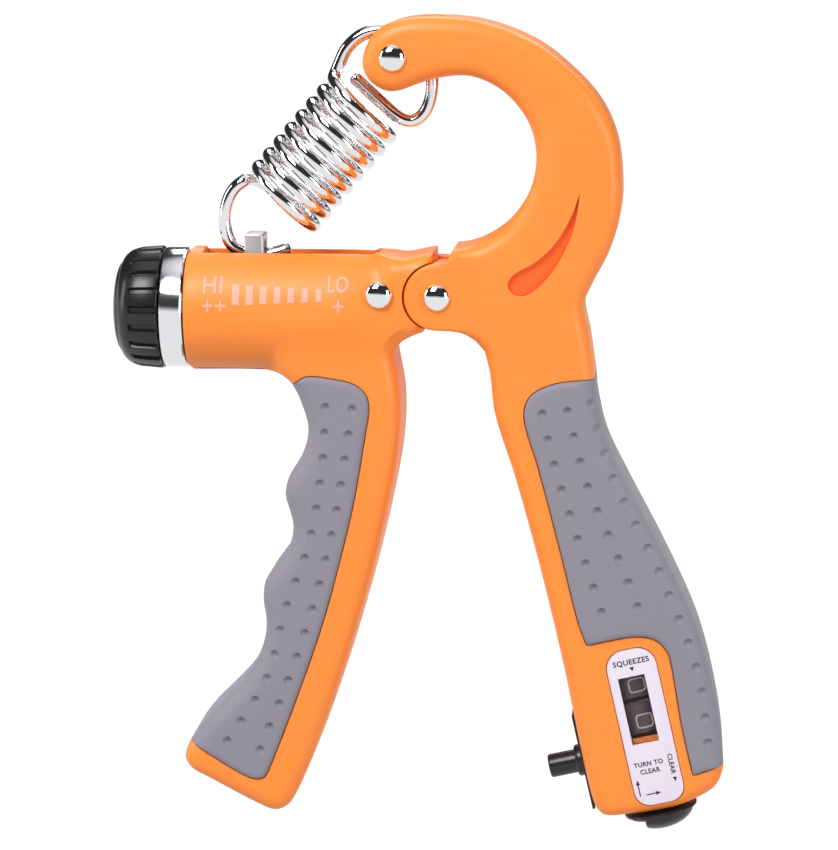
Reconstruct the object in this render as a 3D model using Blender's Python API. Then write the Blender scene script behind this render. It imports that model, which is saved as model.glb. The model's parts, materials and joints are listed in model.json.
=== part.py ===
"""Hand grip strengthener: two hinged mouldings, an adjustable extension spring and a press counter.

The drawing frame has X to the right, Z up and Y to the back, in millimetres, with the pivot's
centre at its origin. The whole drawing is then tilted about Y so that both feet stand on Z = 0.
"""

import math

import bmesh
import bpy
import numpy as np
from mathutils import Matrix, Vector
from mathutils.geometry import delaunay_2d_cdt

# Driving dimensions, millimetres and degrees
MM = 0.001
GAP = 0.3                    # between pieces that touch on the real object
PLATE_HALF = 10.0            # half thickness of both mouldings
PLATE_ROUND = 3.0            # rounding of their edges
PATH_STEP = 2.6              # spacing of the points along an outline
GRIP_WALL = 2.4              # rubber over the outer edge
GRIP_PROUD = 0.8             # rubber standing out of the plate's faces
GRIP_DEPTH = 1.8             # rubber let into the plate's faces
RUN = 0.1                    # running clearance round a turning pin
LEAF_DEEP = 0.9              # of the leaf-shaped hollow in each face

BARREL_RADIUS = 11.8
BARREL_Z = -3.4
BARREL_LEFT = -48.5
BARREL_BORE = 8.6
BORE_END = -15.5
SLOT_HALF = 4.2
SLOT_LEFT = -45.5
SLOT_RIGHT = -11.5

TONGUE_HALF = 4.5
TONGUE_RADIUS = 5.9
LUG_RADIUS = 6.4
LUG_CLEAR = 0.5
FORK_CLEAR = 1.4
PIVOT_PIN = 2.0
PIVOT_BUSH = 3.2
RIVET_HEAD = 2.6
RIVET_RISE = 1.3
LOOP_PIN_X = -8.4
LOOP_PIN_Z = 45.2
LOOP_PIN = 1.5
SLEEVE_RADIUS = 2.4
FORK_HALF = 1.8
FORK_ROOT = 0.9
BARREL_RIVET_X = -11.0
BARREL_RIVET_Z = 0.5
BARREL_RIVET = 1.6

RING_RADIUS = 11.6
RING_LENGTH = 4.4
KNOB_RADIUS = 11.9
KNOB_LENGTH = 8.6
KNOB_RIBS = 20
KNOB_GROOVE = 0.8
CAP_RADIUS = 8.8
CAP_RISE = 1.3
ROD_RADIUS = 2.5
THREAD_DEEP = 0.4
ROD_CORE = ROD_RADIUS - THREAD_DEEP
THREAD_PITCH = 2.0
COLLAR_RADIUS = 4.2
ROD_DEEP = 3.0               # from the knob's face to the rod's end
ROD_IN_BUSH = 3.0
BUSH_START = -16.6
BUSH_END = -8.4
BUSH_RADIUS = 4.6
FLANK_DROP = 1.8             # from the barrel's radius to its flank where its rivet sits
FLANK_CLEAR = 0.9

SLIDER_X = -35.7
SLIDER_LENGTH = 3.6
SLIDER_HALF = 3.6
SLIDER_TOP = 11.2
SLIDER_FOOT = -7.6
HOOK_SLOT_HALF = 1.65
HOOK_SLOT_LOW = -0.25
HOOK_SLOT_HIGH = 8.6

WIRE = 1.25                  # spring wire's radius
COIL = 7.9                   # coil's mean radius
COIL_TURNS = 8
COIL_PITCH = 3.22
COIL_LEAN = 40.7             # of the coil's axis from the vertical, degrees
COIL_LOBE = (-20.5, 41.1)    # where the upper hook runs into the coil
UPPER_RING = [               # the upper hook, from its free end round the loop's pin to the coil
    (-14.2, 38.9, 1), (-7.4, 34.3), (-4.4, 34.1), (-1.9, 36.8), (-1.6, 41.6), (-4.4, 47.0), (-9.6, 49.9),
    (-14.6, 49.2), (-17.6, 46.0), (-18.8, 43.2),
]
HOOK_LOW_Z = 7.0             # lowest point of the lower hook's wire centre
LOWER_HOOK = [(-39.9, 19.6), (-41.4, 16.4), (-41.7, 12.2), (-40.3, 8.5)]
HOOK_TIP = [(-31.4, 7.5), (-28.0, 9.2)]

LEAN = 13.0                  # of the counter's long axis, degrees
COUNTER_X = 40.3
COUNTER_Z = -82.8
LABEL_HALF_WIDTH = 4.9
LABEL_HALF_LENGTH = 15.6
LABEL_DEEP = 0.8
WINDOW_ACROSS = -0.5
WINDOW_DOWN = -3.5
WINDOW_HALF_WIDTH = 2.6
WINDOW_HALF_LENGTH = 6.7
AXLE_ACROSS = -0.9
AXLE_DEEP = -2.6
AXLE_RADIUS = 0.9
WHEEL_RADIUS = 5.3
WHEEL_LENGTH = 6.6
WHEEL_DOWN = (-8.6, -1.4)
POCKET = (-7.0, 6.2, -13.6, 10.2)    # left, right, top, bottom in the counter's frame
POCKET_BACK = 4.2
POCKET_FRONT = -8.2
ENTRY = (-3.8, 9.8)          # top and bottom of the pocket's way out to the leg's inner edge
LEG_EDGE = -12.9             # the leg's inner edge in the counter's frame
STRIP = (-4.2, 16.0)         # top and bottom of the case's strip
STRIP_PROUD = 1.2
STRIP_FRONT = -7.0
STRIP_BACK = 3.8
PLUNGER_DOWN = 5.7
PLUNGER_RADIUS = 2.3
PLUNGER_TIP = -20.4
PLUNGER_SHOULDER = 1.1
PLUNGER_SHANK = PLUNGER_RADIUS - PLUNGER_SHOULDER
PLUNGER_HEAD_END = -9.5
PLUNGER_SHANK_END = -5.6
PLUNGER_WIRE = 0.25
TAB = (-4.7, -3.9)           # the plunger spring's seat on the bracket
LABEL_THICK = 0.4
COLLAR_IN = 7.2
RESET_FLAT = 3.2
FOOT = 27                    # place in BARREL_LEG of the left foot
RIGHT_MOST = 12              # place in LOOP_RIGHT of its rightmost point
COLLAR_OUT = 3.1
COLLAR_END = -15.0
RESET_DOWN = 17.8
RESET_RADIUS = 7.2
RESET_RISE = 3.8
RESET_TIP = 3.0              # radius of its lower end

THROUGH = 20.0               # half length of a hole that goes right through
ROUND = 28                   # sides of a turned piece

# Outlines, anticlockwise; a third value marks a corner
LOOP_RIGHT = [
    (9.0, -10.6), (10.0, -14.8), (11.0, -22.6), (15.0, -35.1), (19.7, -52.0), (24.3, -70.9),
    (28.9, -91.1), (31.3, -101.2, 1), (37.7, -100.8), (46.4, -99.1), (52.5, -96.2), (54.7, -93.9),
    (55.5, -90.1), (53.9, -77.8), (50.2, -63.9), (44.1, -50.3), (36.2, -35.3), (32.2, -27.0),
    (30.3, -19.0), (30.0, -15.6), (28.9, -8.0), (27.8, -1.6), (29.4, 2.6), (32.6, 8.9), (34.6, 15.8),
    (34.9, 21.9), (33.8, 30.1), (30.4, 37.3), (24.3, 43.8), (17.6, 48.6), (8.4, 52.0), (-0.7, 52.9),
    (-7.8, 52.2), (-12.1, 49.8), (-14.3, 44.8), (-13.4, 41.4), (-10.6, 39.2), (-7.8, 38.9),
    (-4.0, 40.2), (0.0, 41.4), (5.8, 41.8), (10.7, 40.0), (14.5, 36.9), (17.4, 32.5), (18.6, 27.4),
    (18.1, 22.2), (16.1, 17.6), (13.0, 13.5), (8.8, 10.6), (5.1, 9.2), (2.9, 8.9, 1), (1.9, 7.0, 1),
]
RIGHT_GRIP_TOP = 19          # places in LOOP_RIGHT where the rubber's border meets the edge
RIGHT_GRIP_LOW = 12
RIGHT_BORDER = [
    (26.9, -15.7), (22.3, -16.4), (18.2, -18.4), (16.8, -21.2), (17.1, -24.8), (19.4, -32.1), (23.7, -48.2),
    (27.3, -62.4), (29.0, -67.0, 1), (35.0, -65.6), (38.4, -65.1), (41.7, -65.5), (43.7, -67.0),
    (45.0, -69.3), (47.4, -82.4), (49.7, -92.3, 1),
]
BARREL_LEG = [
    (-48.5, -13.8, 1), (-47.6, -15.1, 1), (-33.6, -15.1), (-30.2, -15.6), (-27.9, -17.4), (-26.2, -20.8),
    (-24.9, -25.8), (-25.9, -30.4), (-28.6, -35.1), (-29.4, -38.7), (-28.6, -41.6), (-27.9, -45.2),
    (-28.8, -49.0), (-31.2, -52.4), (-33.4, -55.8), (-33.8, -59.5), (-33.3, -63.0), (-33.5, -66.6),
    (-35.0, -71.0), (-37.8, -75.4), (-41.6, -79.5), (-45.4, -83.4), (-48.2, -87.4), (-49.5, -91.0),
    (-48.2, -93.4), (-45.2, -95.1), (-33.4, -101.1), (-31.9, -101.7, 1), (-29.2, -101.0, 1),
    (-24.4, -90.7), (-19.7, -77.6), (-16.0, -65.9), (-12.5, -53.4), (-9.5, -40.6), (-7.5, -29.2),
    (-7.2, -19.7), (-8.6, -11.3, 1), (-7.4, -9.3), (-5.2, -7.9), (-2.9, -7.0, 1),
]
LEFT_GRIP_TOP = 4
LEFT_GRIP_LOW = 22
LEFT_BORDER = [
    (-44.1, -90.1), (-40.0, -92.6), (-36.0, -94.6), (-33.9, -94.5), (-32.6, -92.4), (-26.7, -77.0),
    (-21.9, -62.9), (-18.3, -49.6), (-15.8, -38.8), (-13.8, -27.0), (-13.0, -21.5), (-13.6, -18.8),
    (-15.8, -16.9), (-19.3, -16.0), (-25.0, -15.5),
]
NOSE = [
    (-0.9, 6.6, 1), (-1.0, 8.2, 1), (-3.0, 7.9), (-6.5, 7.2), (-10.0, 7.6), (-14.0, 8.2), (-18.0, 8.4),
    (-47.6, 8.4, 1), (-48.5, 7.0, 1), (-48.5, -13.8, 1),
]
RIGHT_CORE = [                # the inner side of the core that the rubber wraps
    (25.0, -8.0), (16.5, -12.5), (13.0, -21.0), (17.0, -38.0), (24.6, -69.5), (34.0, -70.5),
    (40.6, -70.0), (42.0, -76.0), (45.0, -95.0),
]
LEFT_CORE = [
    (-37.5, -97.5), (-31.0, -97.5), (-28.5, -92.0), (-18.0, -63.0), (-12.0, -38.0), (-9.6, -22.0),
    (-11.0, -14.0), (-22.0, -11.5),
]
LEAF = [
    (27.0, 20.0, 1), (25.4, 15.5), (22.3, 10.3), (18.5, 6.7), (14.9, 4.7), (13.5, 2.9), (14.0, 1.2),
    (16.0, 0.4), (18.2, 1.2), (21.7, 4.8), (24.4, 9.4), (26.2, 14.4),
]

FINISH = {                   # colour, roughness, metallic
    "orange": ((1.0, 0.27, 0.04), 0.38, 0.0),
    "grey_rubber": ((0.36, 0.33, 0.38), 0.75, 0.0),
    "black": ((0.02, 0.02, 0.022), 0.35, 0.0),
    "chrome": ((0.85, 0.85, 0.87), 0.08, 1.0),
    "steel": ((0.6, 0.6, 0.62), 0.3, 1.0),
    "label": ((0.72, 0.71, 0.76), 0.35, 0.0),
    "clear": ((0.75, 0.77, 0.8), 0.05, 0.0),
    "white": ((0.9, 0.9, 0.88), 0.45, 0.0),
}


def clear_scene():
    for thing in list(bpy.data.objects):
        bpy.data.objects.remove(thing, do_unlink=True)


def finish(name):
    """The named Principled material, made on first use."""
    found = bpy.data.materials.get(name)
    if found:
        return found
    colour, roughness, metallic = FINISH[name]
    made = bpy.data.materials.new(name)
    made.use_nodes = True
    shader = made.node_tree.nodes["Principled BSDF"]
    shader.inputs["Base Color"].default_value = (*colour, 1.0)
    shader.inputs["Roughness"].default_value = roughness
    shader.inputs["Metallic"].default_value = metallic
    return made


# Outlines

def flow(points, step=PATH_STEP, closed=True):
    """A smooth line through the points, and where each point lies along it."""
    count = len(points)
    flat = [Vector(p[:2]) for p in points]
    sharp = [len(p) > 2 for p in points]
    line, marks = [], []
    for i in range(count if closed else count - 1):
        here, there = flat[i], flat[(i + 1) % count]
        before, after = flat[i - 1], flat[(i + 2) % count]
        reach = (there - here).length
        leave, arrive = there - here, there - here
        if not sharp[i] and (closed or i > 0):
            leave = (there - before) * reach / ((here - before).length + reach)
        if not sharp[(i + 1) % count] and (closed or i < count - 2):
            arrive = (after - here) * reach / ((after - there).length + reach)
        marks.append(len(line))
        parts = max(1, round(reach / step))
        for k in range(parts):
            t = k / parts
            line.append(
                here * (2 * t**3 - 3 * t**2 + 1) + leave * (t**3 - 2 * t**2 + t)
                + there * (3 * t**2 - 2 * t**3) + arrive * (t**3 - t**2)
            )
    if not closed:
        marks.append(len(line))
        line.append(flat[-1])
    return line, marks


def arc(centre, radius, start, end, step=PATH_STEP):
    """Points round an arc, from one angle to another in degrees."""
    parts = max(2, round(abs(math.radians(end - start)) * radius / step))
    angles = [math.radians(start + (end - start) * k / parts) for k in range(parts + 1)]
    return [Vector((centre[0] + radius * math.cos(a), centre[1] + radius * math.sin(a))) for a in angles]


def moved_out(line, by):
    """A closed anticlockwise line moved outwards along its normals."""
    out = []
    for i, point in enumerate(line):
        along = (line[(i + 1) % len(line)] - line[i - 1]).normalized()
        out.append(point + Vector((along.y, -along.x)) * by)
    return out


def distances(points, line):
    """Each point's distance from a closed line."""
    p = np.array([tuple(q) for q in points])
    a = np.array([tuple(q) for q in line])
    b = np.roll(a, -1, axis=0)
    run = b - a
    reach = np.maximum((run**2).sum(1), 1e-12)
    t = np.clip(((p[:, None] - a) * run).sum(2) / reach, 0, 1)
    near = a + t[..., None] * run
    return np.sqrt(((p[:, None] - near) ** 2).sum(2)).min(1)


# Solids

def new_object(name, mesh, material, origin=(0, 0, 0)):
    """An object at the origin's place on the drawing, whose mesh is given in drawing millimetres."""
    mesh.transform(Matrix.Scale(MM, 4) @ Matrix.Translation(-Vector(origin)))
    made = bpy.data.objects.new(name, mesh)
    made.location = Vector(origin) * MM
    bpy.context.scene.collection.objects.link(made)
    if material:
        mesh.materials.append(finish(material))
    mesh.shade_smooth()
    mesh.set_sharp_from_angle(angle=math.radians(32))
    return made


def mesh_of(name, points, faces):
    """A mesh from points and faces, with its faces turned outwards."""
    mesh = bpy.data.meshes.new(name)
    mesh.from_pydata([tuple(p) for p in points], [], faces)
    work = bmesh.new()
    work.from_mesh(mesh)
    bmesh.ops.recalc_face_normals(work, faces=work.faces)
    work.to_mesh(mesh)
    work.free()
    return mesh


def slab_mesh(name, line, height, rows):
    """A closed solid over an outline, whose half thickness height(points, distances) gives."""
    count = len(line)
    inner = []
    for row in rows:
        inner += moved_out(line, -row)
    low = np.min([tuple(p) for p in line], axis=0)
    high = np.max([tuple(p) for p in line], axis=0)
    spread = 6.0
    for x in np.arange(low[0], high[0], spread):
        inner += [Vector((x, z)) for z in np.arange(low[1], high[1], spread)]
    gone = distances(inner, line)
    counts = [count] * len(rows) + [len(inner) - count * len(rows)]
    wanted = np.repeat(list(rows) + [rows[-1] + 0.5 * spread], counts)
    kept = [p for p, d, w in zip(inner, gone, wanted) if d > 0.93 * w]
    cloud = list(line) + kept
    ring = list(range(count))
    flat, _, faces, origs, _, _ = delaunay_2d_cdt(cloud, [], [ring], 1, 1e-5)
    far = distances(flat, line)
    rim = [i for i, o in enumerate(origs) if any(k < count for k in o)]
    order = {min(k for k in origs[i] if k < count): i for i in rim}
    loop = [order[k] for k in ring]
    far[rim] = 0.0
    half = height(np.array([tuple(p) for p in flat]), far)
    total = len(flat)
    points = [(p.x, -h, p.y) for p, h in zip(flat, half)] + [(p.x, h, p.y) for p, h in zip(flat, half)]
    sides = [[i + total for i in reversed(face)] for face in faces]
    walls = [[a, b, b + total, a + total] for a, b in zip(loop, loop[1:] + loop[:1])]
    return mesh_of(name, points, [list(f) for f in faces] + sides + walls)


def rounded(half, radius):
    """The half thickness of a plate with rounded edges."""
    def height(points, far):
        inset = np.clip(radius - far, 0, radius)
        return half - radius + np.sqrt(radius**2 - inset**2)
    return height


def prism_mesh(name, line, low, high):
    """An outline pulled from one depth to another."""
    count = len(line)
    points = [(p[0], low, p[1]) for p in line] + [(p[0], high, p[1]) for p in line]
    walls = [[i, (i + 1) % count, (i + 1) % count + count, i + count] for i in range(count)]
    return mesh_of(name, points, [list(range(count)), list(range(2 * count - 1, count - 1, -1))] + walls)


def turned_mesh(name, profile, start, along, sides=ROUND):
    """A solid of revolution. The profile holds (distance along, radius, groove depth); radius 0 is a pole."""
    along = Vector(along).normalized()
    across = along.cross(Vector((0, 1, 0)) if abs(along.y) < 0.9 else Vector((1, 0, 0))).normalized()
    third = along.cross(across)
    points, rings = [], []
    for far, radius, *groove in profile:
        if radius == 0:
            rings.append([len(points)])
            points.append(Vector(start) + along * far)
            continue
        rings.append(list(range(len(points), len(points) + sides)))
        for k in range(sides):
            angle = 2 * math.pi * k / sides
            r = radius - (groove[0] if groove and k % 4 > 1 else 0)
            spoke = across * math.cos(angle) + third * math.sin(angle)
            points.append(Vector(start) + along * far + spoke * r)
    pairs = list(zip(rings, rings[1:]))
    if len(rings[0]) > 1 and len(rings[-1]) > 1:
        pairs.append((rings[-1], rings[0]))
    faces = []
    for one, two in pairs:
        for k in range(sides):
            n = (k + 1) % sides
            if len(one) == 1:
                faces.append([one[0], two[k], two[n]])
            elif len(two) == 1:
                faces.append([one[k], one[n], two[0]])
            else:
                faces.append([one[k], one[n], two[n], two[k]])
    return mesh_of(name, points, faces)


def hole_mesh(name, radius, x, z):
    """A cutter for a round hole from front to back."""
    return bore_mesh(name, radius, (x, 0, z), (0, 1, 0))


def bore_mesh(name, radius, start, along, before=THROUGH, after=THROUGH):
    """A cutter for a round hole along a line, from before its start to after it."""
    return turned_mesh(name, [(-before, 0), (-before, radius), (after, radius), (after, 0)], start, along, 20)


def tube_mesh(name, path, radius, sides=8):
    """A round wire along a path, with flat ends."""
    path = [Vector(p) for p in path]
    ahead = (path[1] - path[0]).normalized()
    side = ahead.cross(Vector((0, 1, 0)))
    side = (side if side.length > 0.1 else ahead.cross(Vector((1, 0, 0)))).normalized()
    points = []
    for i, here in enumerate(path):
        turn = (path[min(i + 1, len(path) - 1)] - path[max(i - 1, 0)]).normalized()
        side = (side - turn * side.dot(turn)).normalized()
        up = turn.cross(side)
        for k in range(sides):
            angle = 2 * math.pi * k / sides
            points.append(here + (side * math.cos(angle) + up * math.sin(angle)) * radius)
    faces = [list(range(sides)), list(range(len(points) - 1, len(points) - 1 - sides, -1))]
    for i in range(len(path) - 1):
        for k in range(sides):
            n = (k + 1) % sides
            faces.append([i * sides + k, i * sides + n, (i + 1) * sides + n, (i + 1) * sides + k])
    return mesh_of(name, points, faces)


def cut(target, mesh, operation="DIFFERENCE"):
    """Cuts a mesh out of an object, or joins it on."""
    cutter = new_object(target.name + "_cutter_" + mesh.name, mesh, None, target.location / MM)
    cutter.hide_render = True
    cutter.display_type = "WIRE"
    cutter.parent = target.parent
    step = target.modifiers.new(mesh.name, "BOOLEAN")
    step.operation = operation
    step.solver = "EXACT"
    step.object = cutter
    return cutter


def box_line(left, right, low, high):
    return [Vector((left, low)), Vector((right, low)), Vector((right, high)), Vector((left, high))]


# The counter's own frame: across to the right, down along the leg

DOWN = Vector((math.sin(math.radians(LEAN)), -math.cos(math.radians(LEAN))))
ACROSS = Vector((math.cos(math.radians(LEAN)), math.sin(math.radians(LEAN))))


def spot(across, down):
    return Vector((COUNTER_X, COUNTER_Z)) + ACROSS * across + DOWN * down


def spot3(across, deep, down):
    flat = spot(across, down)
    return Vector((flat.x, deep, flat.y))


DOWN3 = Vector((DOWN.x, 0, DOWN.y))
ACROSS3 = Vector((ACROSS.x, 0, ACROSS.y))


def counter_box(name, left, right, top, bottom, front, back):
    line = [spot(left, bottom), spot(right, bottom), spot(right, top), spot(left, top)]
    return prism_mesh(name, line, front, back)


def window_box(more):
    """The window's sides in the counter's frame, grown by a margin."""
    left, right = WINDOW_ACROSS - WINDOW_HALF_WIDTH - more, WINDOW_ACROSS + WINDOW_HALF_WIDTH + more
    return left, right, WINDOW_DOWN - WINDOW_HALF_LENGTH - more, WINDOW_DOWN + WINDOW_HALF_LENGTH + more


def label_line(inset):
    """The label's outline: a round top, and a flatter foot."""
    half = LABEL_HALF_WIDTH - inset
    length = LABEL_HALF_LENGTH - inset
    around = [(half * math.cos(a), -length + half - half * math.sin(a)) for a in np.linspace(0, math.pi, 11)]
    corner = length - 0.6 * half
    foot = [(-half, corner), (-0.55 * half, length), (0.55 * half, length), (half, corner)]
    return [spot(*p) for p in reversed(around)][::-1] + [spot(*p) for p in foot]


# The two mouldings

def right_outline():
    line, marks = flow(LOOP_RIGHT, closed=False)
    lug = arc((0, 0), LUG_RADIUS, 78, 270)
    line = line + lug + flow([(2.6, -6.5, 1), (5.0, -7.0), (7.2, -8.5)], closed=False)[0]
    return line, marks


def left_outline():
    line, marks = flow(BARREL_LEG, closed=False)
    tongue = arc((0, 0), TONGUE_RADIUS, -108, 96)
    return line + tongue + flow(NOSE, closed=False)[0][:-1], marks


def grip_line(body, marks, first, last, border):
    """The rubber's outline: the moulding's own edge between two marks, and the border inside."""
    edge = body[marks[first]:marks[last] + 1]
    inside, _ = flow([(*edge[-1], 1)] + border + [(*edge[0], 1)], closed=False)
    return edge + inside[1:-1]


def core_line(body, marks, first, last, inner):
    """The core under the rubber: its outer edge, run on past the rubber's ends, and its inner side."""
    shell = moved_out(body, -GRIP_WALL)
    return shell[marks[first] - 3:marks[last] + 4] + [Vector(p) for p in inner]


def barrel_height(points, far):
    """Half thickness of the left moulding: a round barrel that flows into a flat leg and nose."""
    def ramp(value):
        value = np.clip(value, 0, 1)
        return value * value * (3 - 2 * value)
    x, z = points[:, 0], points[:, 1]
    up = z - BARREL_Z
    tube = np.sqrt(np.clip(BARREL_RADIUS**2 - up**2, 1.5**2, None))
    tube = tube * (1 - 0.18 * ramp((x + 18) / 12)) * (z > BARREL_Z - BARREL_RADIUS - 0.6) * (x < -7)
    plate = rounded(PLATE_HALF, PLATE_ROUND)(points, far)
    share = np.where(up > 0, ramp((x + 17) / 9), ramp((x + 38) / 10))
    share = np.maximum(share, ramp((BARREL_Z - 10.4 - z) / 3))
    return np.maximum(np.maximum(tube, plate * share), 1.5)


def rivet_mesh(name, x, z, shank, half):
    """A pin with a domed head at each end."""
    dome = [(math.sin(a) * RIVET_RISE, math.cos(a) * RIVET_HEAD) for a in np.radians([0, 25, 50, 72])]
    low = [(-half - GAP - s, r) for s, r in reversed(dome)]
    high = [(half + GAP + s, r) for s, r in dome]
    ends = [(-half - GAP - RIVET_RISE, 0)], [(half + GAP + RIVET_RISE, 0)]
    profile = ends[0] + low + [(-half - GAP, shank), (half + GAP, shank)] + high + ends[1]
    return turned_mesh(name, profile, (x, 0, z), (0, 1, 0), 20)


def make_frame_arm():
    line, marks = right_outline()
    plate = slab_mesh("frame_arm", line, rounded(PLATE_HALF, PLATE_ROUND), (0.9, PLATE_ROUND))
    arm = new_object("frame_arm", plate, "orange")
    grip = grip_line(line, marks, RIGHT_GRIP_LOW, RIGHT_GRIP_TOP, RIGHT_BORDER)
    recess(arm, grip, core_line(line, marks, RIGHT_GRIP_LOW, RIGHT_GRIP_TOP, RIGHT_CORE))
    fork = arc((0, 0), LUG_RADIUS + FORK_CLEAR, -75, 75)
    fork += [Vector((0.4, 14)), Vector((-14, 14)), Vector((-14, -14)), Vector((1.8, -14))]
    cut(arm, prism_mesh("pivot_fork", fork, -TONGUE_HALF - GAP, TONGUE_HALF + GAP))
    cut(arm, hole_mesh("pivot_hole", PIVOT_PIN + GAP, 0, 0))
    cut(arm, prism_mesh("loop_fork", box_line(-20, FORK_ROOT, 34, 60), -FORK_HALF, FORK_HALF))
    cut(arm, hole_mesh("loop_hole", LOOP_PIN + GAP, LOOP_PIN_X, LOOP_PIN_Z))
    cut(arm, prism_mesh("label_seat", label_line(0), -PLATE_HALF - 3, -PLATE_HALF + LABEL_DEEP))
    cut(arm, counter_box("pocket", *POCKET, POCKET_FRONT, POCKET_BACK))
    cut(arm, counter_box("entry", LEG_EDGE - 2, POCKET[0] + 0.5, *ENTRY, -6.6, 3.4))
    window = counter_box("window_hole", *window_box(0.6), -PLATE_HALF - 2, POCKET_FRONT + 1)
    cut(arm, window)
    cut(arm, bore_mesh("axle_hole", AXLE_RADIUS + 0.5, spot3(AXLE_ACROSS, AXLE_DEEP, POCKET[3]), DOWN3, 1, 14))
    leaf, _ = flow(LEAF, 2.2)
    cut(arm, prism_mesh("leaf", leaf, -PLATE_HALF - 2, -PLATE_HALF + LEAF_DEEP))
    cut(arm, prism_mesh("leaf_back", leaf, PLATE_HALF - LEAF_DEEP, PLATE_HALF + 2))
    return arm


def recess(body, grip, core):
    """Cuts the rubber's seat: its outline less the core that it wraps."""
    seat = slab_mesh("grip_seat", moved_out(grip, GAP), rounded(PLATE_HALF + 4, 0.01), (2.0,))
    cutter = cut(body, seat)
    heart = prism_mesh("core", core, -PLATE_HALF + GRIP_DEPTH, PLATE_HALF - GRIP_DEPTH)
    cut(cutter, heart)


def make_grip(name, grip, core):
    mesh = slab_mesh(name, grip, rounded(PLATE_HALF + GRIP_PROUD, 3.4), (1.0, 3.4))
    made = new_object(name, mesh, "grey_rubber")
    inner = moved_out(core, GAP)
    cut(made, prism_mesh("core", inner, -PLATE_HALF + GRIP_DEPTH - GAP, PLATE_HALF - GRIP_DEPTH + GAP))
    return made


def make_right_grip():
    line, marks = right_outline()
    grip = grip_line(line, marks, RIGHT_GRIP_LOW, RIGHT_GRIP_TOP, RIGHT_BORDER)
    return make_grip("right_grip", grip, core_line(line, marks, RIGHT_GRIP_LOW, RIGHT_GRIP_TOP, RIGHT_CORE))


def make_lever_body():
    line, marks = left_outline()
    body = new_object("lever_body", slab_mesh("lever_body", line, barrel_height, (0.5, 1.6, 3.0)), "orange")
    grip = grip_line(line, marks, LEFT_GRIP_TOP, LEFT_GRIP_LOW, LEFT_BORDER)
    recess(body, grip, core_line(line, marks, LEFT_GRIP_TOP, LEFT_GRIP_LOW, LEFT_CORE))
    depth = BORE_END - BARREL_LEFT + 2
    cut(body, bore_mesh("bore", BARREL_BORE, (BORE_END, 0, BARREL_Z), (1, 0, 0), depth, 0))
    cut(body, prism_mesh("slot", box_line(SLOT_LEFT, SLOT_RIGHT, BARREL_Z, 20), -SLOT_HALF, SLOT_HALF))
    cut(body, bore_mesh("bush_seat", BUSH_RADIUS, (BUSH_END, 0, BARREL_Z), (1, 0, 0), THROUGH, 0))
    lug = arc((0, 0), LUG_RADIUS + LUG_CLEAR, 40, 330)
    lug += [Vector((14, -8)), Vector((14, 8))]
    cut(body, prism_mesh("lug_front", lug, -20, -TONGUE_HALF))
    cut(body, prism_mesh("lug_back", lug, TONGUE_HALF, 20))
    cut(body, hole_mesh("bush_hole", PIVOT_BUSH + GAP, 0, 0))
    cut(body, hole_mesh("rivet_hole", BARREL_RIVET + GAP, BARREL_RIVET_X, BARREL_RIVET_Z))
    return body


def make_left_grip():
    line, marks = left_outline()
    grip = grip_line(line, marks, LEFT_GRIP_TOP, LEFT_GRIP_LOW, LEFT_BORDER)
    return make_grip("left_grip", grip, core_line(line, marks, LEFT_GRIP_TOP, LEFT_GRIP_LOW, LEFT_CORE))


# Pins, bushes and the adjuster

def make_pins():
    pivot = rivet_mesh("pivot_rivet", 0, 0, PIVOT_PIN, PLATE_HALF)
    new_object("pivot_rivet", pivot, "chrome")
    loop = rivet_mesh("loop_pin", LOOP_PIN_X, LOOP_PIN_Z, LOOP_PIN, PLATE_HALF)
    new_object("loop_pin", loop, "chrome")
    flank = max(PLATE_HALF, BARREL_RADIUS - FLANK_DROP) + FLANK_CLEAR
    barrel = rivet_mesh("barrel_rivet", BARREL_RIVET_X, BARREL_RIVET_Z, BARREL_RIVET, flank)
    new_object("barrel_rivet", barrel, "chrome")
    half = TONGUE_HALF
    bush = [(-half, PIVOT_BUSH), (-half, PIVOT_PIN + RUN), (half, PIVOT_PIN + RUN), (half, PIVOT_BUSH)]
    new_object("pivot_bush", turned_mesh("pivot_bush", bush, (0, 0, 0), (0, 1, 0), 20), "steel")
    half = FORK_HALF - 0.2
    sleeve = [(-half, SLEEVE_RADIUS), (-half, LOOP_PIN + RUN), (half, LOOP_PIN + RUN), (half, SLEEVE_RADIUS)]
    centre = (LOOP_PIN_X, 0, LOOP_PIN_Z)
    new_object("pin_sleeve", turned_mesh("pin_sleeve", sleeve, centre, (0, 1, 0), 20), "steel", centre)


def on_barrel(name, profile, material, start, sides=ROUND):
    """A piece turned about the barrel's axis, with its origin there."""
    centre = (start, 0, BARREL_Z)
    return new_object(name, turned_mesh(name, profile, centre, (1, 0, 0), sides), material, centre)


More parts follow.
